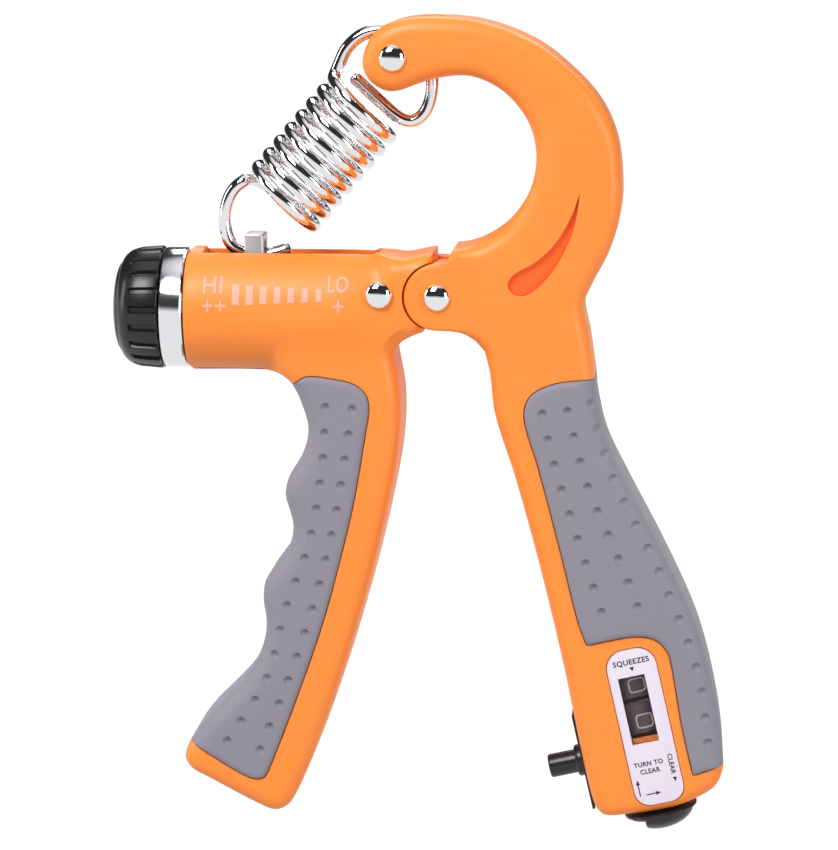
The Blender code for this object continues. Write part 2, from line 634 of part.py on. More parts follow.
def make_adjuster():
    ring_start = BARREL_LEFT - GAP - RING_LENGTH
    bore = BARREL_BORE
    rim, length = RING_RADIUS, RING_LENGTH
    ring = [(0, bore), (0, rim - 0.4), (0.4, rim), (length, rim), (length, bore)]
    on_barrel("barrel_ring", ring, "chrome", ring_start)
    plug_length = SLOT_LEFT - 0.7 - ring_start
    plug = [(0, ROD_RADIUS + RUN), (0, bore - GAP), (plug_length, bore - GAP), (plug_length, ROD_RADIUS + RUN)]
    on_barrel("end_plug", plug, "black", ring_start)
    knob_start = ring_start - GAP - KNOB_LENGTH
    edge, deep = KNOB_RADIUS, KNOB_GROOVE
    knob = [
        (0, 0), (0, CAP_RADIUS), (0.3, edge - 1.5), (1.3, edge - 0.5), (2.6, edge - 0.3, deep),
        (KNOB_LENGTH - 1.8, edge, deep), (KNOB_LENGTH - 1.3, edge), (KNOB_LENGTH - 0.4, edge), (KNOB_LENGTH, edge - 0.4), (KNOB_LENGTH, ROD_RADIUS + GAP),
        (ROD_DEEP - GAP, ROD_RADIUS + GAP), (ROD_DEEP - GAP, 0),
    ]
    on_barrel("adjust_knob", knob, "black", knob_start, KNOB_RIBS * 4)
    dome = [
        (-GAP - CAP_RISE, 0), (-GAP - 0.85 * CAP_RISE, 0.5 * CAP_RADIUS), (-GAP - 0.3, CAP_RADIUS),
        (-GAP, CAP_RADIUS), (-GAP, 0),
    ]
    on_barrel("knob_cap", dome, "black", knob_start)
    rod_start = knob_start + ROD_DEEP
    thread = [(0, 0), (0, ROD_RADIUS)]
    first = ring_start + plug_length - rod_start + 2.0
    last = BUSH_START - rod_start - 0.5
    ridges = int((last - first) / THREAD_PITCH)
    for k in range(ridges):
        thread += [(first + k * THREAD_PITCH, ROD_CORE), (first + (k + 0.5) * THREAD_PITCH, ROD_RADIUS)]
    tip = BUSH_START + ROD_IN_BUSH - rod_start
    thread += [(last, ROD_CORE), (tip, ROD_CORE), (tip, 0)]
    on_barrel("screw_rod", thread, "steel", rod_start, 14)
    collar = [(0, ROD_RADIUS + GAP), (0, COLLAR_RADIUS), (1.0, COLLAR_RADIUS), (1.0, ROD_RADIUS + GAP)]
    on_barrel("rod_collar", collar, "steel", ring_start + plug_length + GAP, 20)
    length = BUSH_END - GAP - BUSH_START
    bush = [
        (ROD_IN_BUSH + GAP, 0), (ROD_IN_BUSH + GAP, ROD_CORE + RUN), (0, ROD_CORE + RUN),
        (0, BUSH_RADIUS - GAP), (length, BUSH_RADIUS - GAP), (length, 0),
    ]
    made = on_barrel("end_bush", bush, "steel", BUSH_START, 20)
    cut(made, hole_mesh("rivet_hole", BARREL_RIVET + GAP, BARREL_RIVET_X, BARREL_RIVET_Z))


def make_slider():
    half = SLIDER_LENGTH / 2
    line = box_line(SLIDER_X - half, SLIDER_X + half, SLIDER_FOOT, SLIDER_TOP)
    centre = (SLIDER_X, 0, BARREL_Z)
    solid = prism_mesh("slider_block", line, -SLIDER_HALF, SLIDER_HALF)
    block = new_object("slider_block", solid, "chrome", centre)
    cut(block, bore_mesh("rod_hole", ROD_RADIUS + GAP, centre, (1, 0, 0)))
    slot = box_line(SLIDER_X - 9, SLIDER_X + 9, HOOK_SLOT_LOW, HOOK_SLOT_HIGH)
    cut(block, prism_mesh("hook_slot", slot, -HOOK_SLOT_HALF, HOOK_SLOT_HALF))
    return block


# The spring

def spring_path(first, last, step=10):
    """Points along the coil between two turn counts."""
    lean = math.radians(COIL_LEAN)
    along = Vector((-math.sin(lean), -math.cos(lean)))
    out = Vector((-math.cos(lean), math.sin(lean)))
    start = Vector(COIL_LOBE) - out * COIL
    path = []
    for k in range(round((last - first) * step) + 1):
        turn = first + k / step
        angle = 2 * math.pi * turn
        flat = start + along * COIL_PITCH * turn + out * COIL * math.cos(angle)
        path.append(Vector((flat.x, -COIL * math.sin(angle), flat.y)))
    return path


def make_spring():
    ring, _ = flow(UPPER_RING, 2.0, closed=False)
    hook = [Vector((p.x, 0, p.y)) for p in ring]
    middle = COIL_TURNS / 2
    upper = hook + spring_path(0, middle)[1:]
    centre = (LOOP_PIN_X, 0, LOOP_PIN_Z)
    new_object("spring_upper", tube_mesh("spring_upper", upper, WIRE, 6), "chrome", centre)
    points = LOWER_HOOK + [(SLIDER_X, HOOK_LOW_Z)] + HOOK_TIP
    end, _ = flow([(p.x, p.z) for p in spring_path(COIL_TURNS, COIL_TURNS)] + points, 2.0, closed=False)
    lower = spring_path(middle, COIL_TURNS) + [Vector((p.x, 0, p.y)) for p in end[1:]]
    ahead = (lower[1] - lower[0]).normalized()
    lower[0] = lower[0] + ahead * 3 * GAP
    new_object("spring_lower", tube_mesh("spring_lower", lower, WIRE, 6), "chrome", centre)


# The counter

def across_mesh(name, line, low, high):
    """A shape drawn as (down, deep) in the counter's frame, pulled across it."""
    count = len(line)
    points = [spot3(low, p[1], p[0]) for p in line] + [spot3(high, p[1], p[0]) for p in line]
    walls = [[i, (i + 1) % count, (i + 1) % count + count, i + count] for i in range(count)]
    return mesh_of(name, points, [list(range(count)), list(range(2 * count - 1, count - 1, -1))] + walls)


def make_label():
    top = -PLATE_HALF + LABEL_DEEP - GAP - LABEL_THICK
    sheet = prism_mesh("label_plate", label_line(GAP), top, top + LABEL_THICK)
    plate = new_object("label_plate", sheet, "label")
    cut(plate, counter_box("window", *window_box(0), -20, 20))
    lens = counter_box("counter_window", *window_box(-GAP), top + 0.1, top + 1.1)
    new_object("counter_window", lens, "clear")


def make_case():
    face = LEG_EDGE - GAP
    strip = counter_box("counter_case", face - STRIP_PROUD + 0.3, face, *STRIP, STRIP_FRONT, STRIP_BACK)
    case = new_object("counter_case", strip, "black")
    start = spot3(COLLAR_END, AXLE_DEEP, PLUNGER_DOWN)
    collar = [(0, 0), (0, COLLAR_OUT), (COLLAR_IN, COLLAR_OUT), (COLLAR_IN, 0)]
    cut(case, turned_mesh("collar", collar, start, ACROSS3, 20), "UNION")
    cut(case, bore_mesh("plunger_bore", PLUNGER_RADIUS + GAP, start, ACROSS3))


def make_bracket():
    top, low = POCKET[2] + 0.4, POCKET[3] - 0.4
    back, front, sheet = POCKET_BACK - 0.4, POCKET_FRONT + 0.7, 0.8
    line = [
        (top, front), (top + sheet, front), (top + sheet, back - sheet), (low - sheet, back - sheet),
        (low - sheet, front), (low, front), (low, back), (top, back),
    ]
    bracket = new_object("counter_bracket", across_mesh("counter_bracket", line, -5.6, 5.6), "steel")
    tab = counter_box("spring_tab", *TAB, PLUNGER_DOWN - 3, low - 0.5, AXLE_DEEP - 3, back - 0.3)
    cut(bracket, tab, "UNION")
    tab_middle = spot3(sum(TAB) / 2, AXLE_DEEP, PLUNGER_DOWN)
    cut(bracket, bore_mesh("shank_hole", PLUNGER_SHANK + GAP, tab_middle, ACROSS3, 2, 2))
    cut(bracket, bore_mesh("axle_bore", AXLE_RADIUS + RUN, spot3(AXLE_ACROSS, AXLE_DEEP, 0), DOWN3))


def on_axle(name, profile, material, down, sides=ROUND):
    centre = spot3(AXLE_ACROSS, AXLE_DEEP, down)
    return new_object(name, turned_mesh(name, profile, centre, DOWN3, sides), material, centre)


def make_wheels():
    half = WHEEL_LENGTH / 2
    bore = AXLE_RADIUS + RUN
    for name, down in zip(("tens_wheel", "units_wheel"), WHEEL_DOWN):
        wheel = [(-half, bore), (-half, WHEEL_RADIUS - 0.3), (0.3 - half, WHEEL_RADIUS)]
        wheel += [(half - 0.3, WHEEL_RADIUS), (half, WHEEL_RADIUS - 0.3), (half, bore)]
        on_axle(name, wheel, "white", down, 20)
    start, end = POCKET[2] + 0.5, RESET_DOWN + 2
    axle = [(0, 0), (0, AXLE_RADIUS), (end - start, AXLE_RADIUS), (end - start, 0)]
    on_axle("counter_axle", axle, "steel", start, 12)
    rim, rise, hole = RESET_RADIUS, RESET_RISE, AXLE_RADIUS + GAP
    knob = [
        (2 + GAP, 0), (2 + GAP, hole), (0, hole), (0, rim), (0.8, rim), (1.0, rim - 0.9), (2.0, rim - 1.3),
        (3.0, rim - 2.6), (rise, RESET_TIP), (rise, 0),
    ]
    made = on_axle("reset_knob", knob, "black", RESET_DOWN)
    cut(made, counter_box("flat", -20, AXLE_ACROSS - RESET_FLAT, RESET_DOWN + 1.2, RESET_DOWN + 9, -20, 20))


def make_plunger():
    length = PLUNGER_HEAD_END - PLUNGER_TIP
    shank = PLUNGER_SHANK_END - PLUNGER_TIP
    rod = [
        (0, 0), (0, PLUNGER_RADIUS - 0.5), (0.5, PLUNGER_RADIUS), (length, PLUNGER_RADIUS),
        (length, PLUNGER_SHANK), (shank, PLUNGER_SHANK), (shank, 0),
    ]
    centre = spot3(PLUNGER_TIP, AXLE_DEEP, PLUNGER_DOWN)
    new_object("plunger", turned_mesh("plunger", rod, centre, ACROSS3, 20), "black", centre)
    low, high = PLUNGER_HEAD_END + GAP + PLUNGER_WIRE, TAB[0] - GAP - PLUNGER_WIRE
    turns, steps = 4, 8
    radius = PLUNGER_SHANK + GAP + PLUNGER_WIRE
    path = []
    for k in range(turns * steps + 1):
        angle = 2 * math.pi * k / steps
        across = low + (high - low) * k / (turns * steps)
        deep, down = AXLE_DEEP + radius * math.sin(angle), PLUNGER_DOWN + radius * math.cos(angle)
        path.append(spot3(across, deep, down))
    new_object("plunger_spring", tube_mesh("plunger_spring", path, PLUNGER_WIRE, 5), "steel")


# The stance: both feet on the ground, and the origin under the middle

def stance():
    left = Vector(BARREL_LEG[FOOT][:2])
    right = spot(AXLE_ACROSS - RESET_TIP, RESET_DOWN + RESET_RISE)
    tilt = math.atan2(right.y - left.y, right.x - left.x)
    turn = Matrix.Rotation(tilt, 4, "Y")
    ground = (turn @ Vector((left.x, 0, left.y))).z
    knob_tip = BARREL_LEFT - 2 * GAP - RING_LENGTH - KNOB_LENGTH - GAP - CAP_RISE
    west = (turn @ Vector((knob_tip, 0, BARREL_Z))).x
    widest = LOOP_RIGHT[RIGHT_MOST]
    east = (turn @ Vector((widest[0], 0, widest[1]))).x
    empty = bpy.data.objects.new("stance", None)
    bpy.context.scene.collection.objects.link(empty)
    empty.matrix_world = Matrix.Translation(Vector((-(west + east) / 2, 0, -ground)) * MM) @ turn
    return empty


def build():
    clear_scene()
    make_frame_arm()
    make_right_grip()
    make_lever_body()
    make_left_grip()
    make_pins()
    make_adjuster()
    make_slider()
    make_spring()
    make_label()
    make_case()
    make_bracket()
    make_wheels()
    make_plunger()
    stand = stance()
    for thing in bpy.data.objects:
        if thing is not stand and thing.parent is None:
            thing.parent = stand


build()
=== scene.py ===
"""The looks of the hand grip strengthener: fine meshes, finishes, print, lights and camera.

Shapes are drawn in millimetres in the drawing frame, whose origin is the pivot's centre with X to
the right, Z up and Y to the back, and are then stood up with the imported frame's own tilt.
"""

import json
import math

import bmesh
import bpy
import numpy as np
from mathutils import Matrix, Vector
from mathutils.geometry import delaunay_2d_cdt


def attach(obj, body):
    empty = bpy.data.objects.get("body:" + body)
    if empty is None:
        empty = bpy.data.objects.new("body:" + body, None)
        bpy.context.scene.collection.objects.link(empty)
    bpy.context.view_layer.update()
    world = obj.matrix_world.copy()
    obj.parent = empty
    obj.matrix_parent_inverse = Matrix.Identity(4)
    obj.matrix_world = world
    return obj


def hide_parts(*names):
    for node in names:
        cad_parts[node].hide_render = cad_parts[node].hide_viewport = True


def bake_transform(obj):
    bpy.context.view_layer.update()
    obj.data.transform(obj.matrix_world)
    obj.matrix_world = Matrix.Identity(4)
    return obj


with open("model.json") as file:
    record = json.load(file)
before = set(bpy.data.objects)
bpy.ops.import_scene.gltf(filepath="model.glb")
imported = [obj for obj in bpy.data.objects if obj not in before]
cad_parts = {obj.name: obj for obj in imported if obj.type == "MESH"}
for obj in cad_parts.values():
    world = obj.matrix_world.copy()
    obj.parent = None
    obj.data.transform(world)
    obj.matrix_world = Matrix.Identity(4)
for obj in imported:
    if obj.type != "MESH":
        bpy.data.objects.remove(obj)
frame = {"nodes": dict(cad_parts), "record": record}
joints = {joint["name"]: joint for joint in frame["record"]["behaviour"]["joints"]}
EAST = Vector(joints["slider_travel"]["axis"]).normalized()
TURN = Matrix((EAST, (0, 1, 0), EAST.cross(Vector((0, 1, 0))))).transposed()
PLACE = Matrix.Translation(joints["lever_pivot"]["pos_m"]) @ TURN.to_4x4()
TO_WORLD = PLACE @ Matrix.Scale(0.001, 4)

# Sizes, millimetres
STEP = 0.9                             # between the points of an outline
ROWS = (0.12, 0.4, 0.85, 1.5, 2.3, 3.1)  # how far inside an outline each row of points lies
SEAM = 0.14                            # between rubber and moulding
LEAST_HALF = 1.5                       # half thickness where a barrel's round would vanish
PLATE_HALF = 10.0
PLATE_ROUND = 3.0
GRIP_PROUD = 0.8
GRIP_ROUND = 3.4
GRIP_LIP = 0.9
PIVOT_ROUND = 0.6                      # crisper edge round the pivot
PIVOT_CRISP = 6.8
PIVOT_FADE = 6
BARREL_RADIUS = 11.8
BARREL_Z = -3.4
BARREL_LEFT = -48.5
BARREL_END = -7
BARREL_BORE = 8.6
BARREL_SLOT = (-45.5, -11.5)           # left and right
BARREL_SLOT_HALF = 4.2
BARREL_DOME = 10.9
NECK, NECK_START, NECK_LONG = 0.18, -18, 12    # how the barrel narrows towards the pivot
NOSE_START, NOSE_LONG = -17, 9         # where barrel turns to plate above its axis
LEG_START, LEG_LONG = -38, 10          # and below it
LEG_DROP, LEG_FADE = 10.4, 3
LOOP_FORK = (-20, 0.9, 34, 60)         # left, right, low and high
LOOP_FORK_HALF = 1.8
FORK_CLEAR = 1.4
LUG_RADIUS = 6.4
TONGUE_HALF = 4.5
TONGUE_RADIUS = 5.9
BUSH_RADIUS = 3.5
SLIDER_X = -35.7
SLIDER_FOOT = -7.6
SLIDER_TOP = 11.2
SLIDER_HALF = 1.8
SLIDER_DEEP = 3.6
SLIDER_BORE = 2.8
HOOK_SLOT = (-0.25, 9.9)               # low and high
HOOK_SLOT_HALF = 1.65
LOOP_PIN = (-8.4, 45.2)
BARREL_RIVET = (-11.0, 0.5)
RING_START = BARREL_LEFT - 4.7
KNOB_START = RING_START - 8.9
WIRE = 1.25
COIL = 7.9
COIL_TURNS = 8
COIL_PITCH = 3.22
COIL_LEAN = math.radians(40.7)
COIL_LOBE = (-20.5, 41.1)
UPPER_RING = [                         # from the free end, round the loop's pin, to the coil
    (-16.4, 40.9, 1), (-12.2, 37.0), (-8.4, 33.7), (-5.6, 32.6), (-3.1, 34.2), (-1.7, 38.0), (-1.8, 41.8),
    (-4.6, 47.0), (-9.6, 49.9), (-14.6, 49.4), (-18.0, 46.6), (-19.4, 43.6),
]
LOWER_HOOK = [                         # from the coil to the free end
    (-39.9, 19.6), (-41.4, 16.4), (-41.7, 12.2), (-40.3, 8.5), (-35.7, 7.0), (-32.0, 7.2), (-29.6, 8.0),
]
LEAN = math.radians(13.0)
COUNTER = Vector((40.3, -82.8))
DOWN = Vector((math.sin(LEAN), -math.cos(LEAN)))
ACROSS = Vector((math.cos(LEAN), math.sin(LEAN)))
AXLE_ACROSS = -0.9
AXLE_DEEP = -2.6
WHEEL_RADIUS = 5.3
WHEEL_HALF = 3.3
WHEEL_EDGE = 0.4
WHEEL_DOWN = {"tens": -8.6, "units": -1.4}
NOUGHT_AT, NOUGHT_WIDE = 10.9, 1.55    # degrees round the wheel, and half width
ONE_AT, FIGURE_APART, FIGURE_WIDE = 52.5, 33.1, 0.9
FIGURE_HIGH, FIGURE_DROP, FIGURE_LINE = 1.3, 0.7, 0.16
WINDOW = (-3.1, 2.1, -10.2, 3.2)       # left, right, top and bottom in the counter's frame
WINDOW_CLEAR = 0.6
POCKET = (-7.0, 6.2, -13.6, 10.2)
POCKET_DEEP = (-8.2, 4.2)              # front and back
LABEL_HALF, LABEL_LONG = 4.9, 15.6     # half sizes
LABEL_TOP, LABEL_LOW = 3.7, 3.0        # corner radii
LABEL_SEAT = 0.7
LEAF_DEEP = 1.0
LEG_EDGE = -12.9
PLUNGER_DOWN = 5.7
PLUNGER_TIP = -20.4
PLUNGER_COIL = (-8.95, -4.95)          # ends of its spring, across
PLUNGER_COIL_RADIUS = 1.75
PLUNGER_COIL_TURNS = 4
RESET_DOWN = 17.8
RESET_FLAT = 3.2

# Outlines, anticlockwise; a third value marks a corner
LOOP_RIGHT = [
    (9.0, -10.6), (10.0, -14.8), (11.0, -22.6), (15.0, -35.1), (19.7, -52.0), (24.3, -70.9),
    (30.1, -97.4), (32.3, -101.0), (37.7, -100.8), (46.4, -99.1), (52.5, -96.2), (54.7, -93.9),
    (55.5, -90.1), (53.9, -77.8), (50.2, -63.9), (44.1, -50.3), (36.2, -35.3), (32.2, -27.0),
    (30.3, -19.0), (30.0, -15.6), (28.9, -8.0), (27.8, -1.6), (29.4, 2.6), (32.6, 8.9), (34.6, 15.8),
    (34.9, 21.9), (33.8, 30.1), (30.4, 37.3), (24.3, 43.8), (17.6, 48.6), (8.4, 52.0), (-0.7, 52.9),
    (-7.8, 52.2), (-12.1, 49.8), (-14.3, 44.8), (-13.4, 41.4), (-10.6, 39.2), (-7.8, 38.9),
    (-4.0, 40.2), (0.0, 41.4), (5.8, 41.8), (10.7, 40.0), (14.5, 36.9), (17.4, 32.5), (18.6, 27.4),
    (18.1, 22.2), (16.1, 17.6), (13.0, 13.5), (8.8, 10.6), (5.1, 9.2), (2.9, 8.9, 1), (1.9, 7.0, 1),
]
RIGHT_GRIP = (12, 19)
RIGHT_BORDER = [
    (26.9, -15.7), (22.3, -16.4), (18.2, -18.4), (16.8, -21.2), (17.1, -24.8), (19.4, -32.1),
    (23.7, -48.2), (27.3, -62.4), (29.0, -67.0, 1), (35.0, -65.6), (38.4, -65.1), (41.7, -65.5),
    (43.7, -67.0), (45.0, -69.3), (47.4, -82.4), (49.7, -92.3, 1),
]
BARREL_LEG = [
    (-48.5, -13.8, 1), (-47.6, -15.1, 1), (-33.6, -15.1), (-30.2, -15.6), (-27.9, -17.4), (-26.2, -20.8),
    (-24.9, -25.8), (-25.9, -30.4), (-28.6, -35.1), (-29.4, -38.7), (-28.6, -41.6), (-27.9, -45.2),
    (-28.8, -49.0), (-31.2, -52.4), (-33.4, -55.8), (-33.8, -59.5), (-33.3, -63.0), (-33.5, -66.6),
    (-35.0, -71.0), (-37.8, -75.4), (-41.6, -79.5), (-45.4, -83.4), (-48.2, -87.4), (-49.5, -91.0),
    (-48.2, -93.4), (-45.2, -95.1), (-33.4, -101.1), (-31.0, -101.4), (-28.6, -99.8),
    (-24.4, -90.7), (-19.7, -77.6), (-16.0, -65.9), (-12.5, -53.4), (-9.5, -40.6), (-7.5, -29.2),
    (-7.2, -19.7), (-8.6, -11.3, 1), (-7.4, -9.3), (-5.2, -7.9), (-2.9, -7.0, 1),
]
LEFT_GRIP = (4, 22)
LEFT_BORDER = [
    (-44.1, -90.1), (-40.0, -92.6), (-36.0, -94.6), (-33.9, -94.5), (-32.6, -92.4), (-26.7, -77.0),
    (-21.9, -62.9), (-18.3, -49.6), (-15.8, -38.8), (-13.8, -27.0), (-13.0, -21.5), (-13.6, -18.8),
    (-15.8, -16.9), (-19.3, -16.0), (-25.0, -15.5),
]
NOSE = [
    (-0.9, 6.6, 1), (-1.0, 8.2, 1), (-3.0, 7.9), (-6.5, 7.2), (-10.0, 7.6), (-14.0, 8.2), (-18.0, 8.4),
    (-47.6, 8.4, 1), (-48.5, 7.0, 1), (-48.5, -13.8, 1),
]
LEAF = [
    (27.0, 20.0, 1), (25.4, 15.5), (22.3, 10.3), (18.5, 6.7), (14.9, 4.7), (13.5, 2.9), (14.0, 1.2),
    (16.0, 0.4), (18.2, 1.2), (21.7, 4.8), (24.4, 9.4), (26.2, 14.4),
]
RIGHT_DIMPLES = [
    [(20.2, -22.0), (22.6, -32.0), (27.2, -46.5), (32.2, -61.6)],
    [(25.0, -21.4), (28.8, -35.6), (35.0, -50.0), (39.0, -60.0)],
    [(29.4, -20.0), (33.5, -33.8), (42.8, -52.6), (50.3, -71.9), (52.6, -86.6)],
]
LEFT_DIMPLES = [
    [(-21.3, -21.2), (-21.7, -30.7), (-24.3, -47.0), (-29.2, -61.1), (-33.0, -74.8), (-41.6, -88.4)],
    [(-16.1, -21.5), (-20.0, -45.3), (-26.1, -67.5), (-34.8, -90.0)],
]
DIMPLE_PITCH = 4.85
DIMPLE_RADIUS = 0.95
DIMPLE_DEEP = 0.75
DIMPLE_RINGS = (                       # share of the radius, and points on the ring
    (0.0, 1), (0.3, 6), (0.55, 10), (0.8, 12), (1.0, 14), (1.25, 14),
)

# Camera in the drawing frame, lamps in metres and watts
CAMERA_PLACE = (45.44, -630.17, 74.05)
CAMERA_TARGET = (-4.15, 0.0, -26.06)
CAMERA_LENS = 139.7
LAMP_TARGET = (0, 0, 0.08)
LAMPS = (                              # name, place, width and height, power
    ("key", (-0.7, -1.3, 1.5), (0.9, 0.9), 31.0),
    ("fill", (1.6, -1.2, 0.5), (0.7, 1.0), 12.0),
    ("rim", (0.2, 1.5, 1.3), (1.6, 0.8), 15.0),
    ("side", (-1.6, -0.2, 0.5), (0.4, 1.0), 6.5),
)
AMBIENT = 0.62
MIRROR_BANDS = ((0.0, 0.5), (0.02, 0.45), (0.08, 0.03), (0.8, 0.03), (0.9, 0.6), (1.0, 0.8))  # height, grey


# Finishes

def surface(name, colour, roughness, metallic=0.0, *, tint, grain=2500.0, relief=0.01, soft=0.0):
    """A Principled finish with a slight drift in colour and gloss, and a fine grain.

    relief is the grain's height and soft the radius that sharp edges are shaded with, in millimetres.
    """
    made = bpy.data.materials.new(name)
    made.use_nodes = True
    nodes, links = made.node_tree.nodes, made.node_tree.links
    shader = nodes["Principled BSDF"]
    shader.inputs["Metallic"].default_value = metallic
    where = nodes.new("ShaderNodeTexCoord")
    broad = nodes.new("ShaderNodeTexNoise")
    broad.inputs["Scale"].default_value = 28.0
    fine = nodes.new("ShaderNodeTexNoise")
    fine.inputs["Scale"].default_value = grain
    for noise in (broad, fine):
        noise.inputs["Detail"].default_value = 3.0
        links.new(where.outputs["Object"], noise.inputs["Vector"])
    drift = nodes.new("ShaderNodeMix")
    drift.data_type = "RGBA"
    drift.inputs["A"].default_value = (*[c * (1 - tint) for c in colour], 1)
    drift.inputs["B"].default_value = (*[min(1, c * (1 + tint)) for c in colour], 1)
    links.new(broad.outputs["Fac"], drift.inputs["Factor"])
    links.new(drift.outputs["Result"], shader.inputs["Base Color"])
    gloss = nodes.new("ShaderNodeMapRange")
    gloss.inputs["To Min"].default_value = roughness * 0.85
    gloss.inputs["To Max"].default_value = min(1, roughness * 1.15)
    links.new(broad.outputs["Fac"], gloss.inputs["Value"])
    links.new(gloss.outputs["Result"], shader.inputs["Roughness"])
    bump = nodes.new("ShaderNodeBump")
    bump.inputs["Strength"].default_value = 0.35
    bump.inputs["Distance"].default_value = relief * 0.001
    links.new(fine.outputs["Fac"], bump.inputs["Height"])
    if soft:
        round_off = nodes.new("ShaderNodeBevel")
        round_off.samples = 4
        round_off.inputs["Radius"].default_value = soft * 0.001
        links.new(round_off.outputs["Normal"], bump.inputs["Normal"])
    links.new(bump.outputs["Normal"], shader.inputs["Normal"])
    return made


ORANGE = surface("orange_plastic", (0.95, 0.25, 0.03), 0.42, tint=0.03, relief=0.02, soft=0.35)
# Painted shade: a darker orange for the walls of recesses, pockets and the barrel's bore, left on the faces
# the cutters carve
SHADED_ORANGE = surface("orange_plastic_painted_shade", (0.93, 0.125, 0.008), 0.45, tint=0.03)
RUBBER = surface("grey_rubber", (0.232, 0.218, 0.262), 0.62, tint=0.04, grain=4200, relief=0.06)
BLACK = surface("black_plastic", (0.009, 0.009, 0.011), 0.28, tint=0.2, relief=0.015)
CHROME = surface("chrome", (0.88, 0.88, 0.9), 0.06, 1.0, tint=0.02, relief=0.001)
RING = surface("polished_ring", (0.86, 0.87, 0.9), 0.13, 1.0, tint=0.02, relief=0.002)
STEEL = surface("steel", (0.72, 0.69, 0.7), 0.4, 1.0, tint=0.05, relief=0.004)
LABEL = surface("label_sheet", (0.71, 0.64, 0.74), 0.4, tint=0.02, relief=0.004)
INK = surface("black_ink", (0.012, 0.012, 0.016), 0.5, tint=0.1)
PALE_INK = surface("pale_ink", (0.7, 0.36, 0.26), 0.5, tint=0.03)
WHEEL = surface("wheel_plastic", (0.1, 0.062, 0.075), 0.4, tint=0.15)
DIGIT = surface("digit_paint", (0.62, 0.58, 0.6), 0.5, tint=0.04)


def clear_finish():
    made = surface("clear_window", (0.97, 0.97, 0.98), 0.05, tint=0.01, relief=0.001)
    shader = made.node_tree.nodes["Principled BSDF"]
    shader.inputs["Transmission Weight"].default_value = 1.0
    shader.inputs["IOR"].default_value = 1.2
    return made


CLEAR = clear_finish()
rubber = RUBBER.node_tree.nodes["Principled BSDF"]
rubber.inputs["Sheen Weight"].default_value = 0.15
rubber.inputs["Specular IOR Level"].default_value = 0.35
plastic = ORANGE.node_tree.nodes["Principled BSDF"]
plastic.inputs["Subsurface Weight"].default_value = 0.12
plastic.inputs["Subsurface Radius"].default_value = (1.0, 0.35, 0.1)
plastic.inputs["Subsurface Scale"].default_value = 0.0015


# Lines

def flow(points, step=STEP, closed=True):
    """A smooth line through the points, and where each point lies along it."""
    count = len(points)
    flat = [Vector(p[:2]) for p in points]
    sharp = [len(p) > 2 for p in points]
    line, marks = [], []
    for i in range(count if closed else count - 1):
        here, there = flat[i], flat[(i + 1) % count]
        before, after = flat[i - 1], flat[(i + 2) % count]
        reach = (there - here).length
        leave, arrive = there - here, there - here
        if not sharp[i] and (closed or i > 0):
            leave = (there - before) * reach / ((here - before).length + reach)
        if not sharp[(i + 1) % count] and (closed or i < count - 2):
            arrive = (after - here) * reach / ((after - there).length + reach)
        marks.append(len(line))
        parts = max(1, round(reach / step))
        for k in range(parts):
            t = k / parts
            line.append(
                here * (2 * t**3 - 3 * t**2 + 1) + leave * (t**3 - 2 * t**2 + t)
                + there * (3 * t**2 - 2 * t**3) + arrive * (t**3 - t**2)
            )
    if not closed:
        marks.append(len(line))
        line.append(flat[-1])
    return line, marks


def arc(centre, radius, start, end):
    parts = max(2, round(abs(math.radians(end - start)) * radius / STEP))
    angles = [math.radians(start + (end - start) * k / parts) for k in range(parts + 1)]
    return [Vector((centre[0] + radius * math.cos(a), centre[1] + radius * math.sin(a))) for a in angles]


def box_line(left, right, low, high):
    return [(left, low), (right, low), (right, high), (left, high)]


def moved_out(line, by):
    out = []
    for i, point in enumerate(line):
        along = (line[(i + 1) % len(line)] - line[i - 1]).normalized()
        out.append(point + Vector((along.y, -along.x)) * by)
    return out


def distances(points, line, closed=True):
    """Each point's distance from a line."""
    p = np.array([tuple(q) for q in points])
    a = np.array([tuple(q) for q in line])
    b = np.roll(a, -1, axis=0)
    if not closed:
        a, b = a[:-1], b[:-1]
    run = b - a
    reach = np.maximum((run**2).sum(1), 1e-12)
    near = np.full(len(p), 1e9)
    for start, way, square in zip(a, run, reach):
        t = np.clip(((p - start) @ way) / square, 0, 1)
        near = np.minimum(near, ((p - start - t[:, None] * way) ** 2).sum(1))
    return np.sqrt(near)


def spaced(points, pitch):
    """Points a pitch apart along a smooth line."""
    line, _ = flow(points, 0.2, closed=False)
    kept, gone = [line[0]], 0.0
    for one, two in zip(line, line[1:]):
        gone += (two - one).length
        if gone >= pitch:
            kept.append(two)
            gone = 0.0
    return kept


def right_outline():
    line, marks = flow(LOOP_RIGHT, closed=False)
    lug = arc((0, 0), LUG_RADIUS, 78, 270)
    return line + lug + flow([(2.6, -6.5, 1), (5.0, -7.0), (7.2, -8.5)], closed=False)[0], marks


def left_outline():
    line, marks = flow(BARREL_LEG, closed=False)
    return line + arc((0, 0), TONGUE_RADIUS, -108, 96) + flow(NOSE, closed=False)[0][:-1], marks


def grip_lines(body, marks, ends, border):
    """The rubber's outer edge and its border inside the moulding."""
    edge = body[marks[ends[0]]:marks[ends[1]] + 1]
    inside, _ = flow([(*edge[-1], 1)] + border + [(*edge[0], 1)], closed=False)
    return edge, inside


# Meshes in drawing millimetres

def mesh_of(name, points, faces, material):
    mesh = bpy.data.meshes.new(name)
    mesh.from_pydata([tuple(p) for p in points], [], faces)
    work = bmesh.new()
    work.from_mesh(mesh)
    bmesh.ops.recalc_face_normals(work, faces=work.faces)
    work.to_mesh(mesh)
    work.free()
    if material:
        mesh.materials.append(material)
    return mesh


